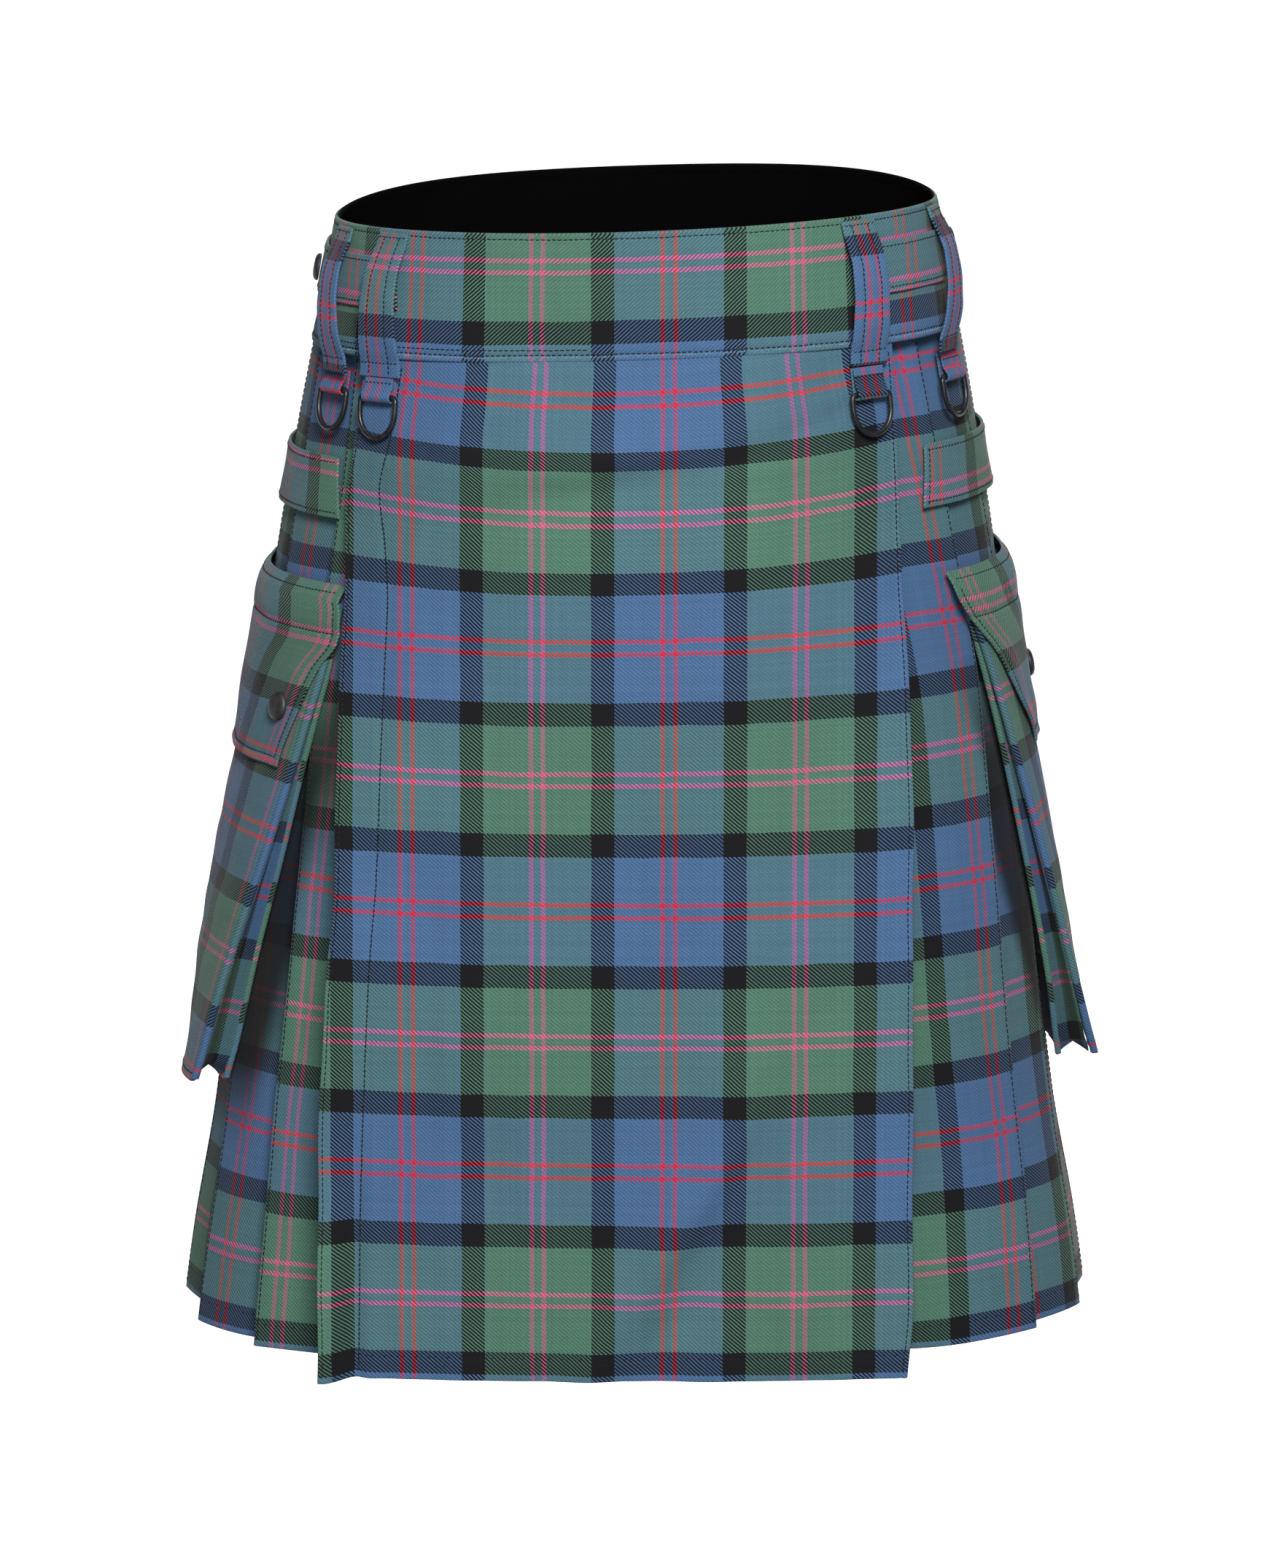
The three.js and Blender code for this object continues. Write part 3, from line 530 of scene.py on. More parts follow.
def enamel(name, rough, scale, colour):
    """Black enamel on metal, with fine dust, rubbed a little where it is handled."""
    T = Tree(name)
    geo = T.node("TexCoord")
    n = T.noise(geo.outputs["Object"], scale, 4, 0.6)
    T.link(T.ramp(n, [(0.35, colour), (0.75, tuple(c * 2.4 for c in colour[:3]) + (1,))]), T.bsdf.inputs["Base Color"])
    r = T.node("MapRange")
    r.inputs["To Min"].default_value = rough
    r.inputs["To Max"].default_value = rough + 0.22
    T.link(n, r.inputs["Value"])
    T.link(r.outputs[0], T.bsdf.inputs["Roughness"])
    T.bsdf.inputs["Metallic"].default_value = 0.35
    T.bsdf.inputs["Specular IOR Level"].default_value = 0.5
    b = T.node("Bump")
    b.inputs["Strength"].default_value = 0.25
    b.inputs["Distance"].default_value = 0.00008
    T.link(T.noise(geo.outputs["Object"], scale * 6, 2, 0.6), b.inputs["Height"])
    T.link(b.outputs[0], T.bsdf.inputs["Normal"])
    return T.m


TARTAN = tartan("tartan_twill")
# a copy of the tartan darkened to 0.72 as painted shade, with a little less sheen, for inner faces, the cloth under the
# apron and the pocket gussets
TARTAN_SHADED = tartan("tartan_inside", shade=0.72, sheen=0.05)
FACING_BLACK = facing_black()
THREAD_DARK = thread("thread_black", (0.0035, 0.004, 0.006))
THREAD_TEAL = thread("thread_teal", (0.10, 0.17, 0.21))
WIRE = enamel("black_ring_wire", 0.24, 220.0, (0.010, 0.010, 0.012, 1))
CAP = enamel("black_snap_cap", 0.42, 260.0, (0.016, 0.016, 0.019, 1))


# ------------------------------------------------------------------ mesh making
def mesh_object(name, verts, faces, mats, uvs=None, index=None, mm=True):
    me = bpy.data.meshes.new(name)
    me.from_pydata((np.asarray(verts, float) * (MM if mm else 1)).tolist(), [], faces)
    me.update()
    if uvs is not None:
        layer = me.uv_layers.new(name="cloth")
        li = np.empty(len(me.loops), dtype=np.int32)
        me.loops.foreach_get("vertex_index", li)
        layer.data.foreach_set("uv", np.asarray(uvs, np.float32)[li].ravel())
    me.polygons.foreach_set("use_smooth", [True] * len(me.polygons))
    if index is not None:
        me.polygons.foreach_set("material_index", np.asarray(index, np.int32))
    for m in mats:
        me.materials.append(m)
    ob = bpy.data.objects.new(name, me)
    SCENE.collection.objects.link(ob)
    return ob


def normals(grid, ring=False):
    if ring:
        du = np.roll(grid, -1, 1) - np.roll(grid, 1, 1)
    else:
        du = np.empty_like(grid)
        du[:, 1:-1] = grid[:, 2:] - grid[:, :-2]
        du[:, 0] = grid[:, 1] - grid[:, 0]
        du[:, -1] = grid[:, -1] - grid[:, -2]
    dv = np.empty_like(grid)
    dv[1:-1] = grid[2:] - grid[:-2]
    dv[0] = grid[1] - grid[0]
    dv[-1] = grid[-1] - grid[-2]
    n = np.cross(du, dv)
    return n / np.maximum(np.linalg.norm(n, axis=-1, keepdims=True), 1e-9)


def cloth(name, grid, uv, thick, mats, ring=False, flip=False, level=False, deep=None):
    """A shell of cloth about a grid of middle points, its open edges rounded over. Rows run down, columns across.
    The first material is on the outside, the second, if there is one, on the inside."""
    R, C, _ = grid.shape
    n = normals(grid, ring)
    if level:
        n[..., 2] = 0
        n /= np.maximum(np.linalg.norm(n, axis=-1, keepdims=True), 1e-9)
    out = (n[..., 0] * grid[..., 0] + n[..., 1] * grid[..., 1]).sum()
    if (out < 0) != flip:
        n = -n
    t = np.asarray(thick, float)
    if t.ndim == 2:
        t = t[..., None]
    A, B = grid + n * t / 2, grid - n * t / 2
    verts = [A.reshape(-1, 3), B.reshape(-1, 3)]
    uvs = [uv.reshape(-1, 2), uv.reshape(-1, 2)]
    base = 2 * R * C
    tt = np.broadcast_to(t, (R, C, 1)) if t.ndim else np.full((R, C, 1), float(t))

    def rim(a, b, uvr, tr):
        d = a - b
        d = d / np.maximum(np.linalg.norm(d, axis=-1, keepdims=True), 1e-9)
        return a + d * tr * 0.4, uvr

    ids = {}
    rims = [("top", grid[0], grid[1], uv[0], tt[0]), ("bot", grid[-1], grid[-2], uv[-1], tt[-1])]
    if not ring:
        rims += [("lef", grid[:, 0], grid[:, 1], uv[:, 0], tt[:, 0]), ("rig", grid[:, -1], grid[:, -2], uv[:, -1], tt[:, -1])]
    for key, a, b, ur, tr in rims:
        e, ue = rim(a, b, ur, tr)
        ids[key] = base + np.arange(len(e))
        base += len(e)
        verts.append(e)
        uvs.append(ue)
    ia = np.arange(R * C).reshape(R, C)
    ib = ia + R * C
    faces, index = [], []

    def strip(p, q, mat):
        # quads between two index rows of equal length
        if ring and len(p) == C:
            p, q = np.append(p, p[0]), np.append(q, q[0])
        f = np.stack([p[:-1], q[:-1], q[1:], p[1:]], -1)
        faces.extend(f.tolist())
        index.extend([mat] * len(f))

    inner = 1 if len(mats) > 1 else 0
    for r in range(R - 1):
        strip(ia[r], ia[r + 1], 0)
        strip(ib[r + 1], ib[r], inner)
    strip(ids["top"], ia[0], 0)
    strip(ib[0], ids["top"], inner if ring else 0)
    strip(ia[-1], ids["bot"], 0)
    strip(ids["bot"], ib[-1], 0)
    if not ring:
        for key, c in (("lef", 0), ("rig", C - 1)):
            e = ids[key]
            for p, q in ((ia[:, c], e), (e, ib[:, c])):
                f = np.stack([p[:-1], p[1:], q[1:], q[:-1]], -1)
                if c:
                    f = f[:, ::-1]
                faces.extend(f.tolist())
                index.extend([0] * len(f))
        for r, c, ek, sk, k, j in (
            (0, 0, "top", "lef", 0, 0),
            (0, C - 1, "top", "rig", C - 1, 0),
            (R - 1, 0, "bot", "lef", 0, R - 1),
            (R - 1, C - 1, "bot", "rig", C - 1, R - 1),
        ):
            e, s = int(ids[ek][k]), int(ids[sk][j])
            faces.append([int(ia[r, c]), e, s])
            faces.append([int(ib[r, c]), s, e])
            index.extend([0, 0])
    ob = mesh_object(name, np.concatenate(verts), faces, mats, np.concatenate(uvs), index)
    import bmesh

    bm = bmesh.new()
    bm.from_mesh(ob.data)
    bmesh.ops.recalc_face_normals(bm, faces=bm.faces)
    bm.to_mesh(ob.data)
    bm.free()
    # the painted shade mask is kept on the mesh as the 'deep' attribute
    if deep is not None:
        d = [deep.ravel(), deep.ravel(), deep[0], deep[-1]]
        if not ring:
            d += [deep[:, 0], deep[:, -1]]
        at = ob.data.attributes.new("deep", "FLOAT", "POINT")
        at.data.foreach_set("value", np.concatenate(d).astype(np.float32))
    return ob


def grid_flat(grid, ring=False):
    g = np.concatenate([grid, grid[:, :1]], 1) if ring else grid
    w = np.linalg.norm(np.diff(g, axis=1), axis=-1).sum(1).max()
    l = np.linalg.norm(np.diff(g, axis=0), axis=-1).sum(0).max()
    return w * MM, l * MM


def sew(ob, nodes, grid, ring=False, body="garment"):
    """Puts a cloth piece in its place: it moves with its body and stands for its nodes; the size of its cut is worked
    out but not kept.
    """
    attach(ob, body)
    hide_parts(*nodes)
    w, l = grid_flat(grid, ring)
    w, l = max(w, 0.0105), max(l, 0.0105)
    return ob


def spans(*parts):
    """Parameter values from 0 to 1: (end, count) pairs, evenly within each."""
    out, a = [0.0], 0.0
    for b, n in parts:
        out += list(a + (b - a) * (np.arange(n) + 1) / n)
        a = b
    return np.array(out)


class Stitches:
    """Rows of short sunken stitches, gathered into one mesh."""

    def __init__(self, name, mat):
        self.name, self.mat = name, mat
        self.v, self.f, self.n = [], [], 0
        self.seed = np.random.default_rng(11)

    def row(self, pts, nrm, pitch=3.1, length=None, r=0.40, lift=0.08, skew=0.0):
        pts, nrm = np.asarray(pts, float), np.asarray(nrm, float)
        length = length or 0.93 * pitch
        seg = np.linalg.norm(np.diff(pts, axis=0), axis=1)
        cum = np.concatenate([[0], np.cumsum(seg)])
        count = max(1, int(cum[-1] / pitch))
        at = (np.arange(count) + 0.5) * cum[-1] / count
        P = np.stack([np.interp(at, cum, pts[:, k]) for k in range(3)], 1)
        N = np.stack([np.interp(at, cum, nrm[:, k]) for k in range(3)], 1)
        N /= np.linalg.norm(N, axis=1, keepdims=True)
        a2, b2 = np.clip(at - 0.6, 0, cum[-1]), np.clip(at + 0.6, 0, cum[-1])
        T = np.stack([np.interp(b2, cum, pts[:, k]) - np.interp(a2, cum, pts[:, k]) for k in range(3)], 1)
        T /= np.maximum(np.linalg.norm(T, axis=1, keepdims=True), 1e-9)
        S = np.cross(N, T)
        if skew:
            T = T + S * skew
            T /= np.linalg.norm(T, axis=1, keepdims=True)
            S = np.cross(N, T)
        P = P + S * self.seed.normal(0, 0.05, (len(P), 1))
        L = length * (1 + self.seed.normal(0, 0.06, (len(P), 1)))
        rings = [(-0.5, 0.30, -0.9), (-0.28, 0.92, 0.0), (0.28, 0.92, 0.0), (0.5, 0.30, -0.9)]
        K = 4
        block = []
        for f, rr, dz in rings:
            for k in range(K):
                w = 2 * math.pi * (k + 0.5) / K
                block.append(P + T * L * f + S * (r * rr * math.cos(w)) + N * (r * (rr * math.sin(w) + dz) + lift))
        V = np.stack(block, 1)  # (count, 16, 3)
        loc = []
        for i in range(3):
            for k in range(K):
                loc.append([i * K + k, i * K + (k + 1) % K, (i + 1) * K + (k + 1) % K, (i + 1) * K + k])
        loc.append([3, 2, 1, 0])
        loc.append([12, 13, 14, 15])
        loc = np.array(loc)
        F = (np.arange(len(P)) * 16)[:, None, None] + loc[None] + self.n
        self.v.append(V.reshape(-1, 3))
        self.f.extend(F.reshape(-1, 4).tolist())
        self.n += len(P) * 16

    def make(self, on):
        if not self.v:
            return None
        ob = mesh_object(self.name, np.concatenate(self.v), self.f, [self.mat])
        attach(ob, "garment")
        return ob


STITCH = {}


def stitches(region, mat=None):
    if region not in STITCH:
        STITCH[region] = Stitches("stitching_" + region, mat or THREAD_DARK)
    return STITCH[region]


def on_grid(grid, thick, rows, cols, ring=False, flip=False):
    """Points and normals on the outer face of a cloth grid at fractional rows and columns."""
    n = normals(grid, ring)
    if ((n[..., 0] * grid[..., 0] + n[..., 1] * grid[..., 1]).sum() < 0) != flip:
        n = -n
    R, C, _ = grid.shape
    rows, cols = np.broadcast_arrays(np.asarray(rows, float), np.asarray(cols, float))
    r0 = np.clip(np.floor(rows).astype(int), 0, R - 2)
    fr = (rows - r0)[:, None]
    if ring:
        c0 = np.floor(cols).astype(int) % C
        c1 = (c0 + 1) % C
        fc = (cols - np.floor(cols))[:, None]
    else:
        c0 = np.clip(np.floor(cols).astype(int), 0, C - 2)
        c1 = c0 + 1
        fc = (cols - c0)[:, None]

    def s(G):
        return (
            G[r0, c0] * (1 - fr) * (1 - fc)
            + G[r0 + 1, c0] * fr * (1 - fc)
            + G[r0, c1] * (1 - fr) * fc
            + G[r0 + 1, c1] * fr * fc
        )

    N = s(n)
    N /= np.linalg.norm(N, axis=1, keepdims=True)
    return s(grid) + N * thick / 2, N


def index_of(values, x):
    """Fractional index of x in an ordered list of values."""
    v = np.asarray(values, float)
    if v[0] > v[-1]:
        return np.interp(-np.asarray(x, float), -v, np.arange(len(v)))
    return np.interp(np.asarray(x, float), v, np.arange(len(v)))


# ------------------------------------------------------------------ waistband
def make_waistband():
    zs = np.array(
        [34, 33.5, 32.8, 32.0, 31.4, 30.8, 30, 28, 25, 21, 17, 13, 9, 5, 1, -3, -7, -11, -15, -19, -22, -25, -27, -28.2]
        + [-28.9, -29.6, -30.3, -31.1, -31.6, -32.0]
    )
    N = 190
    rows, uvs = [], []
    for z in zs:
        r, l = plan("band", 1, z), plan("band", -1, z)
        f = np.arange(N) / N
        sr = r.length * f
        sl = l.length * (1 - f)
        dip = -0.5 * math.exp(-(((z + 29.2) / 1.1) ** 2)) - 0.35 * math.exp(-(((z - 31.6) / 0.8) ** 2))
        dip += 0.35 * math.exp(-(((z + 31.4) / 1.0) ** 2))
        nr = dip + 0.45 * ripple(sr, z * 1.4, 3, 70) + 0.16 * ripple(sr, z, 5, 17)
        nl = dip + 0.45 * ripple(-sl, z * 1.4, 3, 70) + 0.16 * ripple(-sl, z, 5, 17)
        fade = np.minimum(1, np.minimum(34 - z, z + 32) / 5 + 0.25)
        xr, yr = r.point(sr, nr * fade)
        xl, yl = l.point(sl, nl * fade)
        rows.append(lie(np.concatenate([xr, xl]), np.concatenate([yr, yl]), z))
        u = np.concatenate([sr, -sl]) - 17.5
        uvs.append(np.stack([-u, np.full(2 * N, 87.5 - z)], -1))
    grid, uv = np.array(rows), np.array(uvs)
    # the repeat closes at the back inside one column, under the loop there
    ob = cloth("waistband_cloth", grid, uv, 2.6, [TARTAN, FACING_BLACK], ring=True)
    sew(ob, ["waistband"], grid, ring=True)
    C = 2 * N
    cols = np.linspace(0, C, 900)
    st = stitches("waistband")
    for z, kw in ((31.6, dict(pitch=3.0)), (-29.0, dict(pitch=3.0, r=0.46))):
        p, n = on_grid(grid, 2.6, index_of(zs, z), cols, ring=True)
        st.row(p, n, **kw)
    # a second row along the left of the front, and a pale corded row under the lower one
    left = cols[(cols > C * 0.80) & (cols < C * 0.975)]
    p, n = on_grid(grid, 2.6, index_of(zs, -26.2), left, ring=True)
    st.row(p, n, pitch=3.0)
    p, n = on_grid(grid, 2.6, index_of(zs, -30.6), cols, ring=True)
    stitches("waistband_cord", THREAD_TEAL).row(p, n, pitch=1.9, length=1.9, r=0.42, skew=0.55)
    return ob


# ------------------------------------------------------------------ front apron
def apron_y(x, z):
    fall = np.where(x < 0, APRON("fallL", z), APRON("fallR", z)) * (np.abs(x) / 150) ** APRON("power", z)
    kick = 13 * smooth((-150 - x) / 20) * smooth((-z - 430) / 130)
    return -APRON("front", z) + fall - kick - bump(x, z, APRON_FOLDS)


def apron_uv(x, z):
    easing = np.where(x > 17, 0.075, 0.032) * smooth((z + 78) / 46)
    u = (x - 17.5) * (1 + easing)
    return np.stack([u, weft(z, x)], -1)


def make_front_apron():
    zs = -np.concatenate(
        [
            [32.3, 32.8, 33.6, 35, 37],
            np.linspace(39, 130, 47),
            np.linspace(133, 540, 112),
            np.linspace(543, 571, 12),
            [573, 574.6, 575.5, 576],
        ]
    )
    us = spans((0.002, 1), (0.006, 1), (0.012, 2), (0.05, 7), (0.95, 104), (0.988, 7), (0.994, 2), (0.998, 1), (1.0, 1))
    rows, uvs = [], []
    for z in zs:
        l, r = float(APRON("left", z)), float(APRON("right", z))
        x = l + (r - l) * us
        wave = 0.5 * np.sin(z / 31.0) + 0.35 * np.sin(z / 13.0 + 1)
        x = x + wave * np.where(us < 0.05, 1 - us / 0.05, 0) - 0.6 * wave * np.where(us > 0.95, (us - 0.95) / 0.05, 0)
        y = apron_y(x, z)
        relief = bump(x, z, APRON_CREASES)
        relief = relief + 0.55 * ripple(x * 1.5, z * 0.6, 21, 62) + 0.22 * ripple(x, z * 0.7, 22, 21)
        # doubled cloth of the left facing and of the right edge, and the stitched valleys beside them
        fx = float(FACING("x", z))
        relief = relief + 0.55 * smooth((fx - x) / 2.0) - 0.5 * np.exp(-(((x - fx) / 1.6) ** 2))
        relief = relief + 1.2 * np.exp(-(((x - (fx + 5)) / 5.0) ** 2)) * smooth((-z - 380) / 120)
        relief = relief - 2.2 * np.exp(-(((x - (fx - 3)) / 5.5) ** 2)) * smooth((-z - 420) / 100)
        relief = relief + 0.4 * smooth((x - (r - 3.4)) / 1.2) - 0.3 * np.exp(-(((x - (r - 3.6)) / 1.0) ** 2))
        relief = relief + 0.35 * smooth((-z - 564.5) / 1.5) - 0.25 * math.exp(-(((z + 564) / 1.2) ** 2))
        fade = smooth((-z - 32) / 14)
        y = y - relief * fade
        rows.append(lie(x, y, z))
        uvs.append(apron_uv(x, z))
    grid, uv = np.array(rows), np.array(uvs)
    # its inner faces take the tartan copy darkened as painted shade
    ob = cloth("front_apron_cloth", grid, uv, 1.25, [TARTAN, TARTAN_SHADED])
    sew(ob, ["front_apron"], grid)
    st = stitches("apron")
    zz = np.linspace(-37, -573, 700)
    ri = index_of(zs, zz)
    L, Rr = APRON("left", zz), APRON("right", zz)
    fx = FACING("x", zz)
    for x, kw in ((L + 2.0, dict(pitch=3.0, r=0.42)), (fx, dict(pitch=2.7, r=0.50, length=2.75)), (Rr - 2.2, dict(pitch=3.0, r=0.44))):
        ci = index_of(us, (x - L) / (Rr - L))
        p, n = on_grid(grid, 1.25, ri, ci)
        st.row(p, n, **kw)
    cc = np.linspace(2, len(us) - 3, 500)
    p, n = on_grid(grid, 1.25, index_of(zs, -564), cc)
    st.row(p, n, pitch=3.4, length=1.6, r=0.26)
    return ob


# ------------------------------------------------------------------ pleats
def pleat_row(side, z):
    """One height of a side's pleats: plan points and warp coordinates, in the two runs of cloth."""
    k = "R" if side > 0 else "L"
    P = plan("skirt", side, z)
    stand, layer, hidden = float(FOLDS("stand" + k, z)), float(FOLDS("layer", z)), float(FOLDS("hidden", z))
    first, last = P.at_x(float(FOLDS("edge" + k, z))), P.length - 1.2
    edges = first + (last - first) * np.arange(PLEATS) / (PLEATS - 1)
    start = P.at_x(119 + (-z - 32) * 0.006)
    runs, path = [], []

    def warp(i, d):
        # d is the distance beyond the fold edge of pleat i, along the cloth
        e = PLEAT_SETT[side][i]
        return e + d if side > 0 else e - d

    tt = np.concatenate([np.linspace(0, 0.9, 15), [0.94, 0.97, 0.985]])
    deep = smooth((-z - 60) / 120)
    for i, e in enumerate(edges):
        e = e + deep * (0.5 * math.sin(z / 47.0 + 1.9 * i) + 0.3 * math.sin(z / 19.0 + i))
        for t in tt:
            s = start + (e - start) * t
            n = -stand * (1 - t) + 0.9 * deep * math.sin(math.pi * t) * math.sin(z / 83.0 + 2.3 * i)
            n += 0.3 * deep * math.sin(z / 27.0 + 9 * t + i)
            if t > 0.85:
                n = min(n, -0.12)
            path.append((s, n, warp(i, s - e)))
        face = lambda s: -stand * (1 - (s - start) / (e - start))
        # fold
        path.append((e - 0.35, -0.06, warp(i, -0.3)))
        path.append((e + 0.12, -0.45 * layer * 0.5, warp(i, 0.6)))
        path.append((e + 0.2, -layer * 0.5, warp(i, 1.2)))
        path.append((e + 0.12, -layer * 0.78, warp(i, 1.8)))
        path.append((e - 0.35, -layer - 0.02, warp(i, 2.6)))
        # return
        for f in (0.25, 0.5, 0.75, 0.93):
            s = e - hidden * f
            path.append((s, face(s) * f * f - layer, warp(i, 2.6 + hidden * f)))
        n1 = face(e - hidden) - layer
        start = e - hidden
        path.append((start - 0.1, n1 - 0.3, warp(i, 2.6 + hidden)))
        mid = (n1 - stand) / 2
        path.append((start, mid + SEAM / 2, warp(i, 2.6 + hidden + 2)))
        if i + 1 == JOIN:
            runs.append(path)
            path = []
        nxt = i + 1 if i + 1 < PLEATS else i
        e2 = edges[nxt] if i + 1 < PLEATS else P.length
        path.append((start, mid - SEAM / 2, warp(nxt, start - e2)))
        path.append((start, -stand * 0.9 + mid * 0.1, warp(nxt, start - e2)))
    end = P.length - SEAM / 2
    for f in (0, 0.33, 0.66, 1):
        s = start + (end - start) * f
        path.append((s, -stand * (1 - 0.04 * f), warp(PLEATS - 1, s - edges[-1])))
    runs.append(path)
    out = []
    for path in runs:
        a = np.array(path)
        x, y = P.point(a[:, 0], a[:, 1])
        out.append((x, y, a[:, 2]))
    return out, edges, stand


def make_pleats(side):
    word = "right" if side > 0 else "left"
    zs = -np.concatenate([[32.3, 33, 34.5, 37], np.linspace(40, 150, 29), np.linspace(156, 560, 66), [564, 568, 571, 573.6, 575.2, 576]])
    parts = [[], []]
    uvs = [[], []]
    for z in zs:
        runs, edges, stand = pleat_row(side, z)
        for k, (x, y, u) in enumerate(runs):
            wob = 1.0 * smooth((-z - 480) / 96)
            zz = z + wob * 0.8 * np.sin(np.arctan2(x, -y) * 11 + side)
            parts[k].append(lie(x, y, zz))
            uvs[k].append(np.stack([u, weft(z, 119.0) + 0 * u], -1))
    st = stitches("pleats_" + word)
    for k, tail in enumerate(("front", "rear")):
        grid, uv = np.array(parts[k]), np.array(uvs[k])
        key = "R" if side > 0 else "L"
        # painted shade mask: strongest where the pleats lie beside and under the pockets, fading out ahead of a
        # pocket's front edge; the tartan darkens the cloth there as if in the pockets' shadow
        zz = grid[..., 2]
        ahead = POCKETS("front" + key, zz) - grid[..., 1]
        down = smooth((-zz - 190) / 80) * (1 - smooth((-zz - 425) / 60))
        deep = down * (1 - smooth((ahead - (7 if side > 0 else 3)) / (11 if side > 0 else 17))) * (grid[..., 1] < 90)
        # its inner faces take the tartan copy darkened as painted shade
        ob = cloth("pleats_" + word + "_" + tail + "_cloth", grid, uv, 1.1, [TARTAN, TARTAN_SHADED], deep=deep)
        # the cut is far wider than what shows, for its hidden folds
        w, l = grid_flat(grid)
        sew(ob, ["pleats_" + word + "_" + tail], grid)
        per = 18 + 5 + 4 + 2 + 2  # columns of one pleat
        first = 0 if k == 0 else 2
        count = JOIN if k == 0 else PLEATS - JOIN
        zz = np.linspace(-36, -573, 620)
        ri = index_of(zs, zz)
        for i in range(count):
            # the row of stitches close beside the fold edge
            c = first + per * i + 17.0
            p, n = on_grid(grid, 1.1, ri, c - 0.35)
            st.row(p, n, pitch=3.3, r=0.42)
        cc = np.arange(first, first + per * count)
        keep = np.isin((cc - first) % per, np.arange(3, 18))
        for i in range(count):
            seg = cc[keep][(cc[keep] - first) // per == i].astype(float)
            p, n = on_grid(grid, 1.1, index_of(zs, -564.0), seg)
            st.row(p, n, pitch=3.4, length=1.6, r=0.26)
    return zs


def make_under_apron():
    zs = -np.concatenate([[32.3, 34], np.linspace(40, 566, 60), [570, 572, 573]])
    us = spans((0.01, 1), (0.99, 60), (1.0, 1)) * 2 - 1
    rows, uvs = [], []
    for z in zs:
        ends = []
        for side in (-1, 1):
            x, y, _ = pleat_row(side, z)[0][0]
            ends.append((x[0], y[0]))
        xl, xr = ends[0][0] + 1.4, ends[1][0] - 1.4
        middle = -float(APRON("front", z)) + 7 + 13 * float(smooth((-z - 60) / 400))
        x = (xl + xr) / 2 + (xr - xl) / 2 * us
        e = np.where(us < 0, ends[0][1], ends[1][1])
        y = e + (middle - e) * (1 - np.abs(us) ** 2.2)
        y = y + 0.8 * ripple(x, z * 0.6, 31, 80) * smooth((-z - 60) / 80) * (1 - np.abs(us) ** 6)
        rows.append(lie(x, y, z))
        uvs.append(np.stack([x - 40, weft(z, x)], -1))
    grid, uv = np.array(rows), np.array(uvs)
    # all of the cloth under the apron takes the tartan copy darkened as painted shade
    ob = cloth("under_apron_cloth", grid, uv, 1.1, [TARTAN_SHADED])
    sew(ob, ["under_apron"], grid)
    return ob


# ------------------------------------------------------------------ belt loops, tabs and rings
LOOP_LOOK = {  # depth of a red pair below the loop's top, warp offset of the red pair across it
    "1": (49, 0.5, 0.5),
    "2": (-53.5, -2.6, 0.8),
    "3": (49, 1.0, 0.4),
    "4": (47, 0.0, 0.6),
    "back_1": (40, 34, 0.5),
    "back_2": (56, 0, 0.5),
    "back_3": (20, 70, 0.5),
}


def make_loop(row):
    name, x_top, x_bot, w_top, w_bot, bar, behind = row
    red, shift, _ = LOOP_LOOK[name]
    zs = np.concatenate([[32.5, 32.1, 31.4, 30.5], np.linspace(29, -38, 44), [-39.6, -40.7, -41.3, -41.5]])
    vs = np.array([-0.5, -0.49, -0.47, -0.43, -0.38, -0.32, -0.26, -0.2, -0.12, -0.04, 0.04, 0.12, 0.2, 0.26, 0.32, 0.38, 0.43, 0.47, 0.49, 0.5])
    rows, uvs, run, last = [], [], 0.0, None
    # the table's rows carry x and width, evenly by row
    tz = np.array([32.5, 27.5, 21, 10, -4, -17, -27, -34.5, -41.5])
    for z in zs:
        f = float(np.interp(-z, -tz, np.arange(9) / 8))
        x = x_top + (x_bot - x_top) * f
        w = w_top + (w_bot - w_top) * f
        side = -1 if x < 0 else 1
        P = plan("band", side, z)
        s = P.length - abs(x) if behind else P.at_x(x)
        out = float(LOOP_PROFILE("out", z))
        px, py = P.point(s, out)
        ax, ay = P.point(s - 5)
        bx, by = P.point(s + 5)
        q = math.hypot(bx - ax, by - ay)
        tx, ty = side * (bx - ax) / q, side * (by - ay) / q
        nx, ny = ty, -tx
        if nx * px + ny * py < 0:
            nx, ny = -nx, -ny
        lift = 0.0 - 0.55 * np.abs(vs * 2) ** 6 + 0.12 * np.sin(z / 3.1 + vs * 5)
        lift = lift - 0.28 * np.exp(-(((np.abs(vs) - 0.26) / 0.03) ** 2))
        gx = px + tx * w * vs + nx * lift
        gy = py + ty * w * vs + ny * lift
        pts = lie(gx, gy, z)
        if last is not None:
            run += float(np.linalg.norm(pts[10] - last))
        last = pts[10]
        rows.append(pts)
        uvs.append(np.stack([-(vs * w - shift), np.full(len(vs), run - red)], -1))
    grid, uv = np.array(rows), np.array(uvs)
    ob = cloth("belt_loop_" + name + "_cloth", grid, uv, 1.7, [TARTAN])
    sew(ob, ["belt_loop_" + name], grid)
    st = stitches("loops")
    zz = np.linspace(31, -40.5, 120)
    ri = index_of(zs, zz)
    for v in (-0.26, 0.26):
        p, n = on_grid(grid, 1.7, ri, float(index_of(vs, v)))
        st.row(p, n, pitch=2.7, r=0.42, lift=0.1)
    for z in (30.6, -34.0):
        p, n = on_grid(grid, 1.7, float(index_of(zs, z)), np.linspace(1.5, len(vs) - 2.5, 60))
        st.row(p, n, pitch=2.4, length=2.0, r=0.36)
    return ob


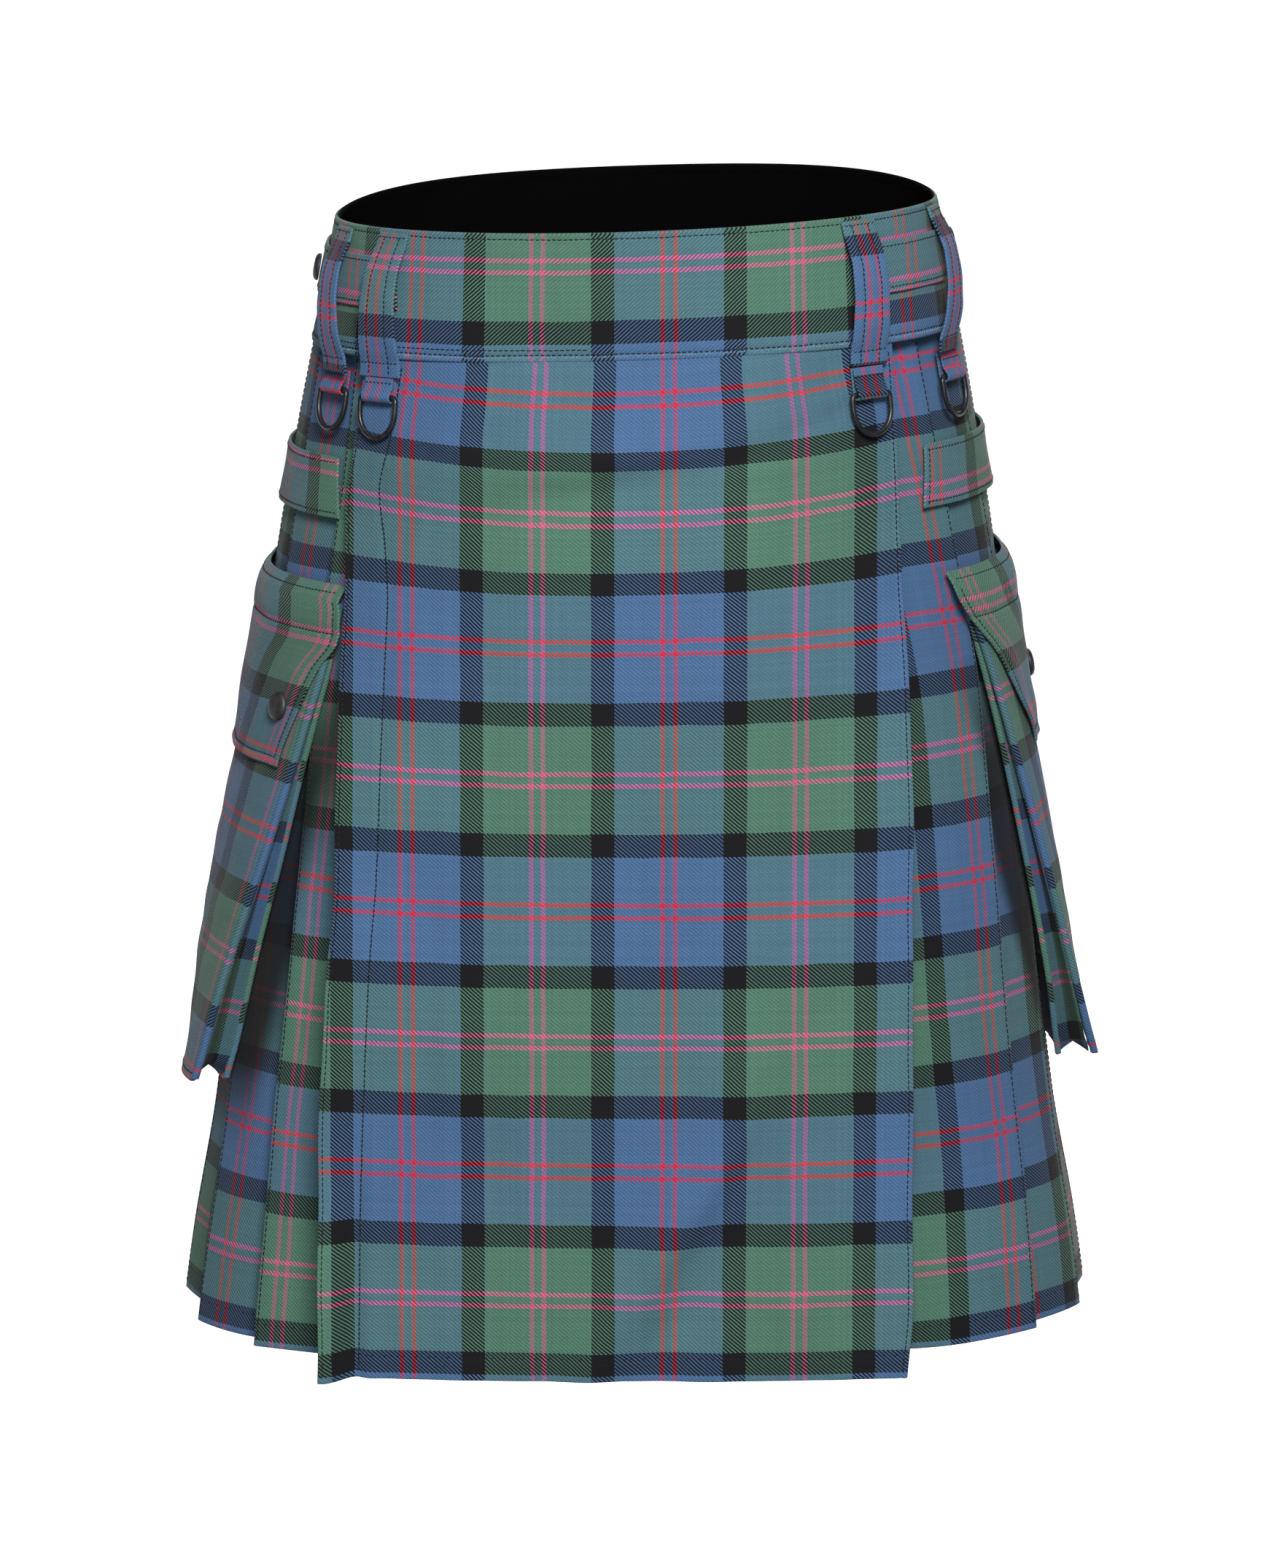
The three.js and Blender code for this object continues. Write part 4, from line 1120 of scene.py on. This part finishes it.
def ring_frame(k):
    """A ring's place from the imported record: the middle of its bar, and directions across, up the cloth and out."""
    for j in frame["record"]["behaviour"]["joints"]:
        if j["child"] == "d_ring_%s_body" % k:
            c = np.array(j["pos_m"], float) * 1000
            across = -np.array(j["axis"], float)
            break
    me = frame["nodes"]["d_ring_" + k].data
    co = np.empty(len(me.vertices) * 3)
    me.vertices.foreach_get("co", co)
    co = co.reshape(-1, 3) * 1000
    across /= np.linalg.norm(across)
    down = co.mean(0) - c
    down -= across * down.dot(across)
    up = -down / np.linalg.norm(down)
    out = np.cross(across, up)
    if out[1] > 0:
        out = -out
    return c, across, up, out


def ring_path(n=16):
    h, c = RING["width"] / 2 - RING["wire"] / 2, RING["corner"]
    low = RING["drop"] - 8
    pts = [(x, 0.0) for x in np.linspace(-(h - c), h - c, n)]
    pts += [(h - c + c * math.cos(math.radians(d)), -c + c * math.sin(math.radians(d))) for d in (75, 60, 45, 30, 15, 0)]
    pts += [(h, -y) for y in (4.0, 6.0)]
    pts += [(h * math.cos(math.radians(d)), -8 - low * math.sin(math.radians(d))) for d in range(0, 181, 6)]
    pts += [(-h, -y) for y in (6.0, 4.0)]
    pts += [(-(h - c) + c * math.cos(math.radians(d)), -c + c * math.sin(math.radians(d))) for d in (180, 165, 150, 135, 120, 105)]
    return np.array(pts)


def make_ring(k):
    c, across, up, out = ring_frame(k)
    path = ring_path()
    M, K = len(path), 14
    a, b = np.roll(path, 1, 0), np.roll(path, -1, 0)
    t = b - a
    t /= np.linalg.norm(t, axis=1, keepdims=True)
    nrm = np.stack([-t[:, 1], t[:, 0]], 1)
    r = RING["wire"] / 2
    verts = []
    for i in range(M):
        for j in range(K):
            w = 2 * math.pi * j / K
            q = path[i] + nrm[i] * r * math.cos(w)
            verts.append(c + across * q[0] + up * q[1] + out * r * math.sin(w))
    faces = []
    for i in range(M):
        for j in range(K):
            i2, j2 = (i + 1) % M, (j + 1) % K
            faces.append([i * K + j, i2 * K + j, i2 * K + j2, i * K + j2])
    ob = mesh_object("d_ring_%s_wire" % k, verts, faces, [WIRE])
    tidy(ob)
    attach(ob, "d_ring_%s_body" % k)
    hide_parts("d_ring_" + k)


def tidy(ob):
    import bmesh

    bm = bmesh.new()
    bm.from_mesh(ob.data)
    bmesh.ops.recalc_face_normals(bm, faces=bm.faces)
    bm.to_mesh(ob.data)
    bm.free()


TAB_LOOK = {"1": (6, 20), "2": (-2, 4), "3": (0, 62), "4": (4, 30)}


def make_tab(row):
    name, bar = row[0], row[5]
    c, across, up, out = ring_frame(name)
    BAR_OUT = 4.8
    base = c - out * BAR_OUT
    top = (-43.6 - bar) / up[2]
    r = RING["wire"] / 2 + 0.4 + 0.7
    line = [(BAR_OUT - r, t) for t in np.linspace(top, 2.5, 9)]
    line += [(BAR_OUT + r * math.cos(math.radians(d)), r * math.sin(math.radians(d))) for d in np.linspace(180, 390, 22)]
    line += [(BAR_OUT + 0.2 - 0.4 * f, 5.2 + (top - 5.2) * f) for f in (0, 0.25, 0.5, 0.75, 1.0)]
    w = 18.6
    vs = np.array([-0.5, -0.49, -0.46, -0.4, -0.3, -0.2, -0.1, 0, 0.1, 0.2, 0.3, 0.4, 0.46, 0.49, 0.5])
    shift, phase = TAB_LOOK[name]
    rows, uvs, run, last = [], [], 0.0, None
    for n, u in line:
        p = base + out * n + up * u
        if last is not None:
            run += float(np.linalg.norm(p - last))
        last = p
        rows.append([p + across * v * w for v in vs])
        uvs.append([(vv * w - shift, phase - run) for vv in vs])
    grid, uv = np.array(rows), np.array(uvs)
    ob = cloth("ring_tab_" + name + "_cloth", grid, uv, 1.1, [TARTAN])
    sew(ob, ["ring_tab_" + name], grid)
    st = stitches("tabs")
    # a row across the tab above the bar, on its front leg
    k = len(line) - 3
    g = grid[k]
    st.row(g + out * 0.75, np.repeat(out[None], len(g), 0), pitch=2.4, length=1.9, r=0.34)
    return ob


# ------------------------------------------------------------------ straps
def strap_grid(kind, side, zs, s_range, out, us):
    rows = []
    for z in zs:
        P = plan(kind, side, z)
        s0, s1 = s_range(P)
        s = s0 + (s1 - s0) * us
        rows.append(lie(*P.point(s, out(z, us)), z))
    return np.array(rows)


def make_straps(side):
    word = "right" if side > 0 else "left"
    st = stitches("straps_" + word)
    # waist strap
    zs = np.array([20, 19.8, 19.3, 18.4, 17, 14, 11, 8, 5, 2, -1, -3, -4.4, -5.3, -5.8, -6])
    us = spans((0.006, 1), (0.02, 2), (0.98, 60), (0.994, 2), (1.0, 1))
    x0 = 121 if side > 0 else 126
    rng = lambda P: (P.at_x(x0), P.at_y(46))
    grid = strap_grid("band", side, zs, rng, lambda z, u: STRAP_OUT + 0.25 * np.sin(u * 21 + z / 5) - 0.3 * abs((z - 7) / 13) ** 6, us)
    run = np.concatenate([[0], np.cumsum(np.linalg.norm(np.diff(grid[5], axis=0), axis=1))])
    uv = np.zeros(grid.shape[:2] + (2,))
    uv[..., 0] = (run - 34)[None] * (-1 if side > 0 else 1)
    uv[..., 1] = (20 - zs)[:, None] + 47
    ob = cloth("waist_strap_" + word + "_cloth", grid, uv, 1.7, [TARTAN])
    sew(ob, ["waist_strap_" + word], grid)
    for z in (17.6, -3.6):
        p, n = on_grid(grid, 1.7, float(index_of(zs, z)), np.linspace(1.5, len(us) - 2.5, 260))
        st.row(p, n, pitch=2.9)
    for c in (2.6, len(us) - 3.6):
        p, n = on_grid(grid, 1.7, np.linspace(2.5, len(zs) - 3.5, 40), c)
        st.row(p, n, pitch=2.6)
    # hip strap
    zs = -np.array([90, 90.2, 90.8, 92, 94, 97, 101, 105, 109, 113, 116.5, 119, 120.6, 121.4, 121.8, 122])
    x0 = 153.5 if side > 0 else 158.5
    rng = lambda P: (P.at_x(x0), P.at_y(64))
    grid = strap_grid("skirt", side, zs, rng, lambda z, u: 3.2 + 0.3 * np.sin(u * 17 + z / 6) - 0.25 * abs((z + 106) / 16) ** 6, us)
    run = np.concatenate([[0], np.cumsum(np.linalg.norm(np.diff(grid[5], axis=0), axis=1))])
    uv = np.zeros(grid.shape[:2] + (2,))
    uv[..., 0] = (run - (8.5 if side > 0 else 57))[None] * (-1 if side > 0 else 1)
    uv[..., 1] = (-zs)[:, None] - 90 + (46 if side > 0 else 64.8)
    ob = cloth("hip_strap_" + word + "_cloth", grid, uv, 1.6, [TARTAN])
    sew(ob, ["hip_strap_" + word], grid)
    for z in (-92.6, -119.4):
        p, n = on_grid(grid, 1.6, float(index_of(zs, z)), np.linspace(1.5, len(us) - 2.5, 260))
        st.row(p, n, pitch=2.9)
    # the front end of the left one is tucked in behind the apron's edge
    for c in (2.6, len(us) - 3.6) if side > 0 else (len(us) - 3.6,):
        p, n = on_grid(grid, 1.6, np.linspace(2.5, len(zs) - 3.5, 40), c)
        st.row(p, n, pitch=2.6)


# ------------------------------------------------------------------ pockets
def pocket_s(side, z, inset=0.0):
    k = "R" if side > 0 else "L"
    P = plan("skirt", side, z)
    return P, P.at_y(float(POCKETS("front" + k, z))) + inset, P.at_y(float(POCKETS("rear", z))) - inset


def pocket_point(side, u, z, n, inset=0.0):
    P, s0, s1 = pocket_s(side, z, inset)
    return P, s0, s1, P.point(s0 + (s1 - s0) * u, n)


def hang(side, u, z):
    """How much closer the left pocket hangs behind its lower front edge."""
    return 6 * smooth(u / 0.5) * smooth((-z - 375) / 60) if side < 0 else 0.0


def flap_out(side, u, z):
    flip = 14 * smooth((u - 0.66) / 0.34) * smooth((-z - 200) / 50) if side < 0 else 0
    return float(POCKETS("flap", z)) + flip


def make_pocket(side):
    word = "right" if side > 0 else "left"
    k = "R" if side > 0 else "L"
    st = stitches("pockets_" + word)
    us = spans((0.004, 1), (0.012, 1), (0.02, 1), (0.05, 4), (0.95, 56), (0.98, 4), (0.988, 1), (0.996, 1), (1.0, 1))

    def edge_ridge(u, width, z, top, bottom):
        """The sewn ridge round the panel's edge and the stitched groove inside it."""
        d = np.minimum(u, 1 - u) * width
        d = np.minimum(d, z - bottom)
        return 0.75 * np.exp(-((d / 2.0) ** 2)) - 0.55 * np.exp(-(((d - 4.2) / 1.3) ** 2))

    def panel(name, zs, out, thick, phase_u, phase_v, hem, r, welt_u):
        """A pocket panel; its front edge is rolled into a thick welt, stitched down beside it."""
        turns = (240, 210, 182, 154, 126, 98, 70, 42, 18)
        flat = us[us > 0.03]
        rows, uvs = [], []
        for z in zs:
            P, s0, s1 = pocket_s(side, z)
            w = s1 - s0
            rr = r * (0.45 + 0.55 * float(smooth((-z - 184) / 26)))
            ds = [rr + rr * math.cos(math.radians(a)) for a in turns]
            dn = [rr * math.sin(math.radians(a)) + 0.2 for a in turns]
            ds += [2 * rr + 0.3, 2 * rr + 1.1, 2 * rr + 2.0]
            dn += [-0.35, -0.6, -0.25]
            n0 = out(flat, z) + edge_ridge(1 - flat, w, z, zs[0], zs[-1]) * (flat > 0.5)
            lead = float(out(np.array([0.0]), z)[0])
            s = np.concatenate([np.array(ds), np.maximum(w * flat, 2 * rr + 2.6 + 0.4 * np.arange(len(flat)))])
            n = np.concatenate([lead + np.array(dn), n0])
            x, y = P.point(s0 + s, n)
            uu = np.clip(s / w, 0, 1)
            dz = hem(uu) * float(smooth((zs[0] - z) / 30.0 - 3)) if hem else 0 * uu
            # the lower corners are rounded
            near = np.clip(1 - (1 - uu) * w / 9, 0, 1)
            dz = dz + 7 * (1 - np.sqrt(1 - near**2)) * float(smooth((-z - 408) / 32))
            dz = dz + 2.5 * np.exp(-((uu * w / 4.0) ** 2)) * float(smooth((-z - 420) / 22))
            rows.append(lie(x, y, z + dz))
            run = np.concatenate([[0], np.cumsum(np.hypot(np.diff(s), np.diff(n)))])
            warp = (run - phase_u) * (-1 if side > 0 else 1)
            warp[: len(turns)] = welt_u + run[: len(turns)]
            uvs.append(np.stack([warp, -z - phase_v - dz], -1))
        grid, uv = np.array(rows), np.array(uvs)
        return cloth(name, grid, uv, thick, [TARTAN]), grid

    # back panel
    zs = -np.concatenate([[168, 168.6, 170], np.linspace(174, 436, 60), [438.5, 440.4, 441.5, 442]])
    ob, g = panel(
        "pocket_back_%s_cloth" % word,
        zs,
        lambda u, z: float(POCKETS("back" + k, z)) + 0 * u,
        0.9,
        86 if side < 0 else 64,
        297,
        None,
        1.5,
        50,
    )
    sew(ob, ["pocket_back_" + word], g)
    p, n = on_grid(g, 0.9, np.linspace(2, len(zs) - 6, 300), 10.0)
    st.row(p, n, pitch=3.0)

    # front panel
    zs = -np.concatenate([[168, 168.6, 170], np.linspace(174, 432, 66), [435, 437.6, 439.6, 441, 442]])

    def out(u, z):
        base = float(POCKETS("panel", z)) - hang(side, u, z)
        puff = 1.6 * np.sin(math.pi * np.clip(u, 0, 1)) ** 0.7 * float(smooth((-z - 250) / 60))
        rough = 0.7 * ripple(u * 150, z, 41 + side, 46) * float(smooth((-z - 262) / 40)) * np.sin(math.pi * u) ** 0.4
        low = float(smooth((-z - 380) / 60))
        scallop = 1.0 * low * np.sin(u * 13 + side) * (1 - 0.4 * u)
        return base + puff * 0.7 + rough + scallop

    hem = (lambda u: 1.1 * np.sin(u * 11.0 + 1.0)) if side > 0 else (lambda u: 1.0 * np.sin(u * 9.0 + 2.0))
    ob, g = panel("pocket_front_%s_cloth" % word, zs, out, 1.0, 12 - 70 if side < 0 else 64, 297, hem, 1.9, 12)
    sew(ob, ["pocket_front_" + word], g)
    ri = np.linspace(4, len(zs) - 8, 320)
    p, n = on_grid(g, 1.0, ri, 10.0)
    st.row(p, n, pitch=3.0)
    p, n = on_grid(g, 1.0, ri, float(g.shape[1] - 6))
    st.row(p, n, pitch=3.0)
    p, n = on_grid(g, 1.0, float(index_of(zs, -437.8)), np.linspace(12, g.shape[1] - 4, 200))
    st.row(p, n, pitch=3.0)

    # bellows
    top, low = -214.0, POCKET["bottom"] + 1
    rim = []
    for z in np.linspace(top, low + 14, 40):
        rim.append((0.0, z, 1.0, 0.0))
    for f in np.linspace(0.1, 0.9, 9):
        w = f * math.pi / 2
        rim.append((0.10 * (1 - math.cos(w)), low + 14 * (1 - math.sin(w)), math.cos(w), math.sin(w)))
    for u in np.linspace(0.10, 0.90, 36):
        rim.append((u, low, 0.0, 1.0))
    for f in np.linspace(0.9, 0.1, 9):
        w = f * math.pi / 2
        rim.append((1.0 - 0.10 * (1 - math.cos(w)), low + 14 * (1 - math.sin(w)), -math.cos(w), math.sin(w)))
    for z in np.linspace(low + 14, top, 40):
        rim.append((1.0, z, -1.0, 0.0))
    fs = np.linspace(0, 1, 13)
    rows, uvs, run = [], [], 0.0
    for j, f in enumerate(fs):
        deep = 1 + 6 * (1 - abs(2 * f - 1)) ** 0.85
        line, cu = [], []
        prev, acc = None, 0.0
        for u, z, du, dz in rim:
            zz = z + dz * deep
            b = float(POCKETS("back" + k, zz)) + 1.6
            q = float(POCKETS("panel", zz)) - float(hang(side, u, zz)) - 1.8
            P, s0, s1 = pocket_s(side, zz)
            x, y = P.point(s0 + (s1 - s0) * u + du * deep, b + (q - b) * f)
            p = lie(x, y, zz)
            if prev is not None:
                acc += float(np.linalg.norm(p - prev))
            prev = p
            line.append(p)
            cu.append((f * 24 + 20, acc + 20))
        rows.append(line)
        uvs.append(cu)
    grid, uv = np.array(rows), np.array(uvs)
    # the gussets take the tartan copy darkened as painted shade
    ob = cloth("pocket_gusset_%s_cloth" % word, grid, uv, 0.9, [TARTAN_SHADED], flip=False)
    sew(ob, ["pocket_gusset_" + word], grid)

    # flap
    zs = -np.concatenate([[158, 158.4, 159.2, 160.5, 162, 164, 166.5, 169, 172, 175, 178, 181, 182.4, 183.2, 184, 184.8, 186], np.linspace(188, 252, 30), [253.8, 255.2, 256.4, 257.6, 258.6, 259.4, 260]])
    rows, uvs = [], []
    for z in zs:
        P, _, s1 = pocket_s(side, z, -2.5)
        s0 = P.at_y(float(POCKETS("flapR" if side > 0 else "flapL", z)))
        w = s1 - s0
        n = flap_out(side, us, z) + 0 * us
        d = np.minimum(np.minimum(us, 1 - us) * w, z + 260)
        n = n + 0.5 * np.exp(-((d / 1.8) ** 2)) - 0.45 * np.exp(-(((d - 4.4) / 1.2) ** 2))
        n = n - 0.7 * math.exp(-(((z + 183.4) / 1.5) ** 2)) + 0.5 * math.exp(-(((z + 174) / 6) ** 2))
        n = n + 0.6 * ripple(us * w, z, 51 + side, 42) * smooth((-z - 165) / 20) * np.sin(math.pi * us) ** 0.3
        # a crease springs from the front corner and the lower edge waves
        n = n + 1.4 * np.exp(-(((us * w - 22 - (z + 190) * 0.5) / 9) ** 2)) * smooth((-z - 190) / 24)
        n = n - 1.2 * np.exp(-(((us * w - 40 - (z + 190) * 0.4) / 9) ** 2)) * smooth((-z - 200) / 30)
        x, y = P.point(s0 + w * us, n)
        rows.append(lie(x, y, z))
        uvs.append(np.stack([us * w + 60 if side < 0 else 84 - us * w, np.full(len(us), -z - (115 if side < 0 else 106))], -1))
    grid, uv = np.array(rows), np.array(uvs)
    ob = cloth("pocket_flap_%s_cloth" % word, grid, uv, 1.5, [TARTAN])
    sew(ob, ["pocket_flap_" + word], grid)
    w = float(np.linalg.norm(np.diff(grid[20], axis=0), axis=1).sum())
    for d in (4.4, w - 4.4):
        p, n = on_grid(grid, 1.5, np.linspace(6, len(zs) - 5.5, 160), float(index_of(us, d / w)))
        st.row(p, n, pitch=2.9)
    for z in (-162.0, -183.4, -255.6):
        p, n = on_grid(grid, 1.5, float(index_of(zs, z)), np.linspace(3, len(us) - 4, 260))
        st.row(p, n, pitch=2.9)
    return grid, zs, us


# ------------------------------------------------------------------ snaps
def dome(name, node, p, out, radius, height):
    prof = [
        (0.0, height),
        (0.16, height * 0.998),
        (0.34, height * 0.985),
        (0.5, height * 0.955),
        (0.64, height * 0.90),
        (0.76, height * 0.82),
        (0.86, height * 0.70),
        (0.93, height * 0.55),
        (0.975, height * 0.38),
        (0.99, height * 0.24),
        (0.985, height * 0.12),
        (0.95, height * 0.03),
        (0.88, 0.0),
    ]
    out = np.asarray(out, float)
    a = np.cross(out, [0, 0, 1.0])
    a /= np.linalg.norm(a)
    b = np.cross(out, a)
    K = 40
    verts = [p + out * height]
    for f, h in prof[1:]:
        for j in range(K):
            w = 2 * math.pi * j / K
            verts.append(p + (a * math.cos(w) + b * math.sin(w)) * radius * f + out * h)
    faces = [[0, 1 + j, 1 + (j + 1) % K] for j in range(K)]
    for i in range(len(prof) - 2):
        for j in range(K):
            q = 1 + i * K
            faces.append([q + j, q + K + j, q + K + (j + 1) % K, q + (j + 1) % K])
    base = 1 + (len(prof) - 2) * K
    faces.append([base + j for j in range(K)][::-1])
    ob = mesh_object(name, verts, faces, [CAP])
    tidy(ob)
    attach(ob, "garment")
    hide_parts(node)


def snap_place(node):
    """Where a snap sits in the frame: the middle of its flat base, and its outward direction."""
    me = frame["nodes"][node].data
    co = np.empty(len(me.vertices) * 3)
    me.vertices.foreach_get("co", co)
    co = co.reshape(-1, 3) * 1000
    c = co.mean(0)
    w, v = np.linalg.eigh(np.cov((co - c).T))
    n = v[:, 0]
    if n[0] * c[0] < 0:
        n = -n
    h = (co - c) @ n
    # centre of the rim
    mid = (co.max(0) + co.min(0)) / 2
    r = co - c
    flat = r - np.outer(h, n)
    radius = np.linalg.norm(flat, axis=1).max()
    return c + n * h.min(), n, float(radius), float(h.max() - h.min()), mid


# ------------------------------------------------------------------ build all
make_waistband()
make_front_apron()
make_under_apron()
for side in (1, -1):
    make_pleats(side)
for row in LOOPS:
    make_loop(row)
    if not row[6]:
        make_tab(row)
        make_ring(row[0])
for side in (1, -1):
    make_straps(side)
    make_pocket(side)
for word in ("left", "right"):
    for kind in ("waist_snap_", "flap_snap_front_", "flap_snap_rear_"):
        base, n, radius, height, _ = snap_place(kind + word)
        dome(kind + word + "_cap", kind + word, base, n, radius, height)
for s in STITCH.values():
    s.make(None)

# ------------------------------------------------------------------ floor, light and camera
me = bpy.data.meshes.new("floor")
me.from_pydata([(-14, -14, -1.15), (14, -14, -1.15), (14, 60, -1.15), (-14, 60, -1.15)], [], [[0, 1, 2, 3]])
me.update()
floor = bpy.data.objects.new("floor", me)
SCENE.collection.objects.link(floor)
T = Tree("pale_floor")
# a grey floor that brightens into a white backdrop behind the kilt
geo = T.node("TexCoord")
sep = T.node("SeparateXYZ")
T.link(geo.outputs["Object"], sep.inputs[0])
sweep = T.node("MapRange", interpolation_type="SMOOTHSTEP")
sweep.inputs["From Min"].default_value = 0.1
sweep.inputs["From Max"].default_value = 0.95
T.link(sep.outputs[1], sweep.inputs["Value"])
T.link(T.mix(sweep.outputs[0], (0.20, 0.20, 0.20, 1), (0.85, 0.85, 0.85, 1)), T.bsdf.inputs["Base Color"])
T.link(T.mix(sweep.outputs[0], (0, 0, 0, 1), (1, 1, 1, 1)), T.bsdf.inputs["Emission Color"])
T.bsdf.inputs["Roughness"].default_value = 0.95
T.bsdf.inputs["Specular IOR Level"].default_value = 0.0
T.bsdf.inputs["Emission Strength"].default_value = 1.0
me.materials.append(T.m)

world = bpy.data.worlds.new("studio")
SCENE.world = world
world.use_nodes = True
bg = world.node_tree.nodes["Background"]
bg.inputs[0].default_value = (1, 1, 1, 1)
bg.inputs[1].default_value = 0.13


def area_light(name, loc, target, size, power):
    d = bpy.data.lights.new(name, "AREA")
    d.shape = "RECTANGLE"
    d.size, d.size_y = size
    d.energy = power
    o = bpy.data.objects.new(name, d)
    o.location = loc
    v = np.array(target) - np.array(loc)
    from mathutils import Vector

    o.rotation_euler = Vector(v).to_track_quat("-Z", "Y").to_euler()
    SCENE.collection.objects.link(o)


area_light("key", (0.35, -3.2, 1.75), (0, 0, -0.25), (1.0, 1.0), 200)
area_light("fill", (-0.3, -3.3, 0.3), (0, 0, -0.25), (1.0, 1.0), 18)
area_light("top", (0.0, -0.2, 2.6), (0, 0, -0.2), (1.6, 1.6), 16)
area_light("back", (0.3, 3.2, 1.4), (0, 0, -0.25), (1.6, 1.6), 40)

cam = bpy.data.cameras.new("camera")
cam.lens = 141.7
cam.sensor_width = 36
cam.clip_end = 200
co = bpy.data.objects.new("camera", cam)
co.location = (-0.0016, -3.370, 0.434)
co.rotation_euler = (math.radians(77.88), 0, 0)
SCENE.collection.objects.link(co)
SCENE.camera = co
SCENE.view_settings.view_transform = "Standard"
SCENE.view_settings.look = "None"
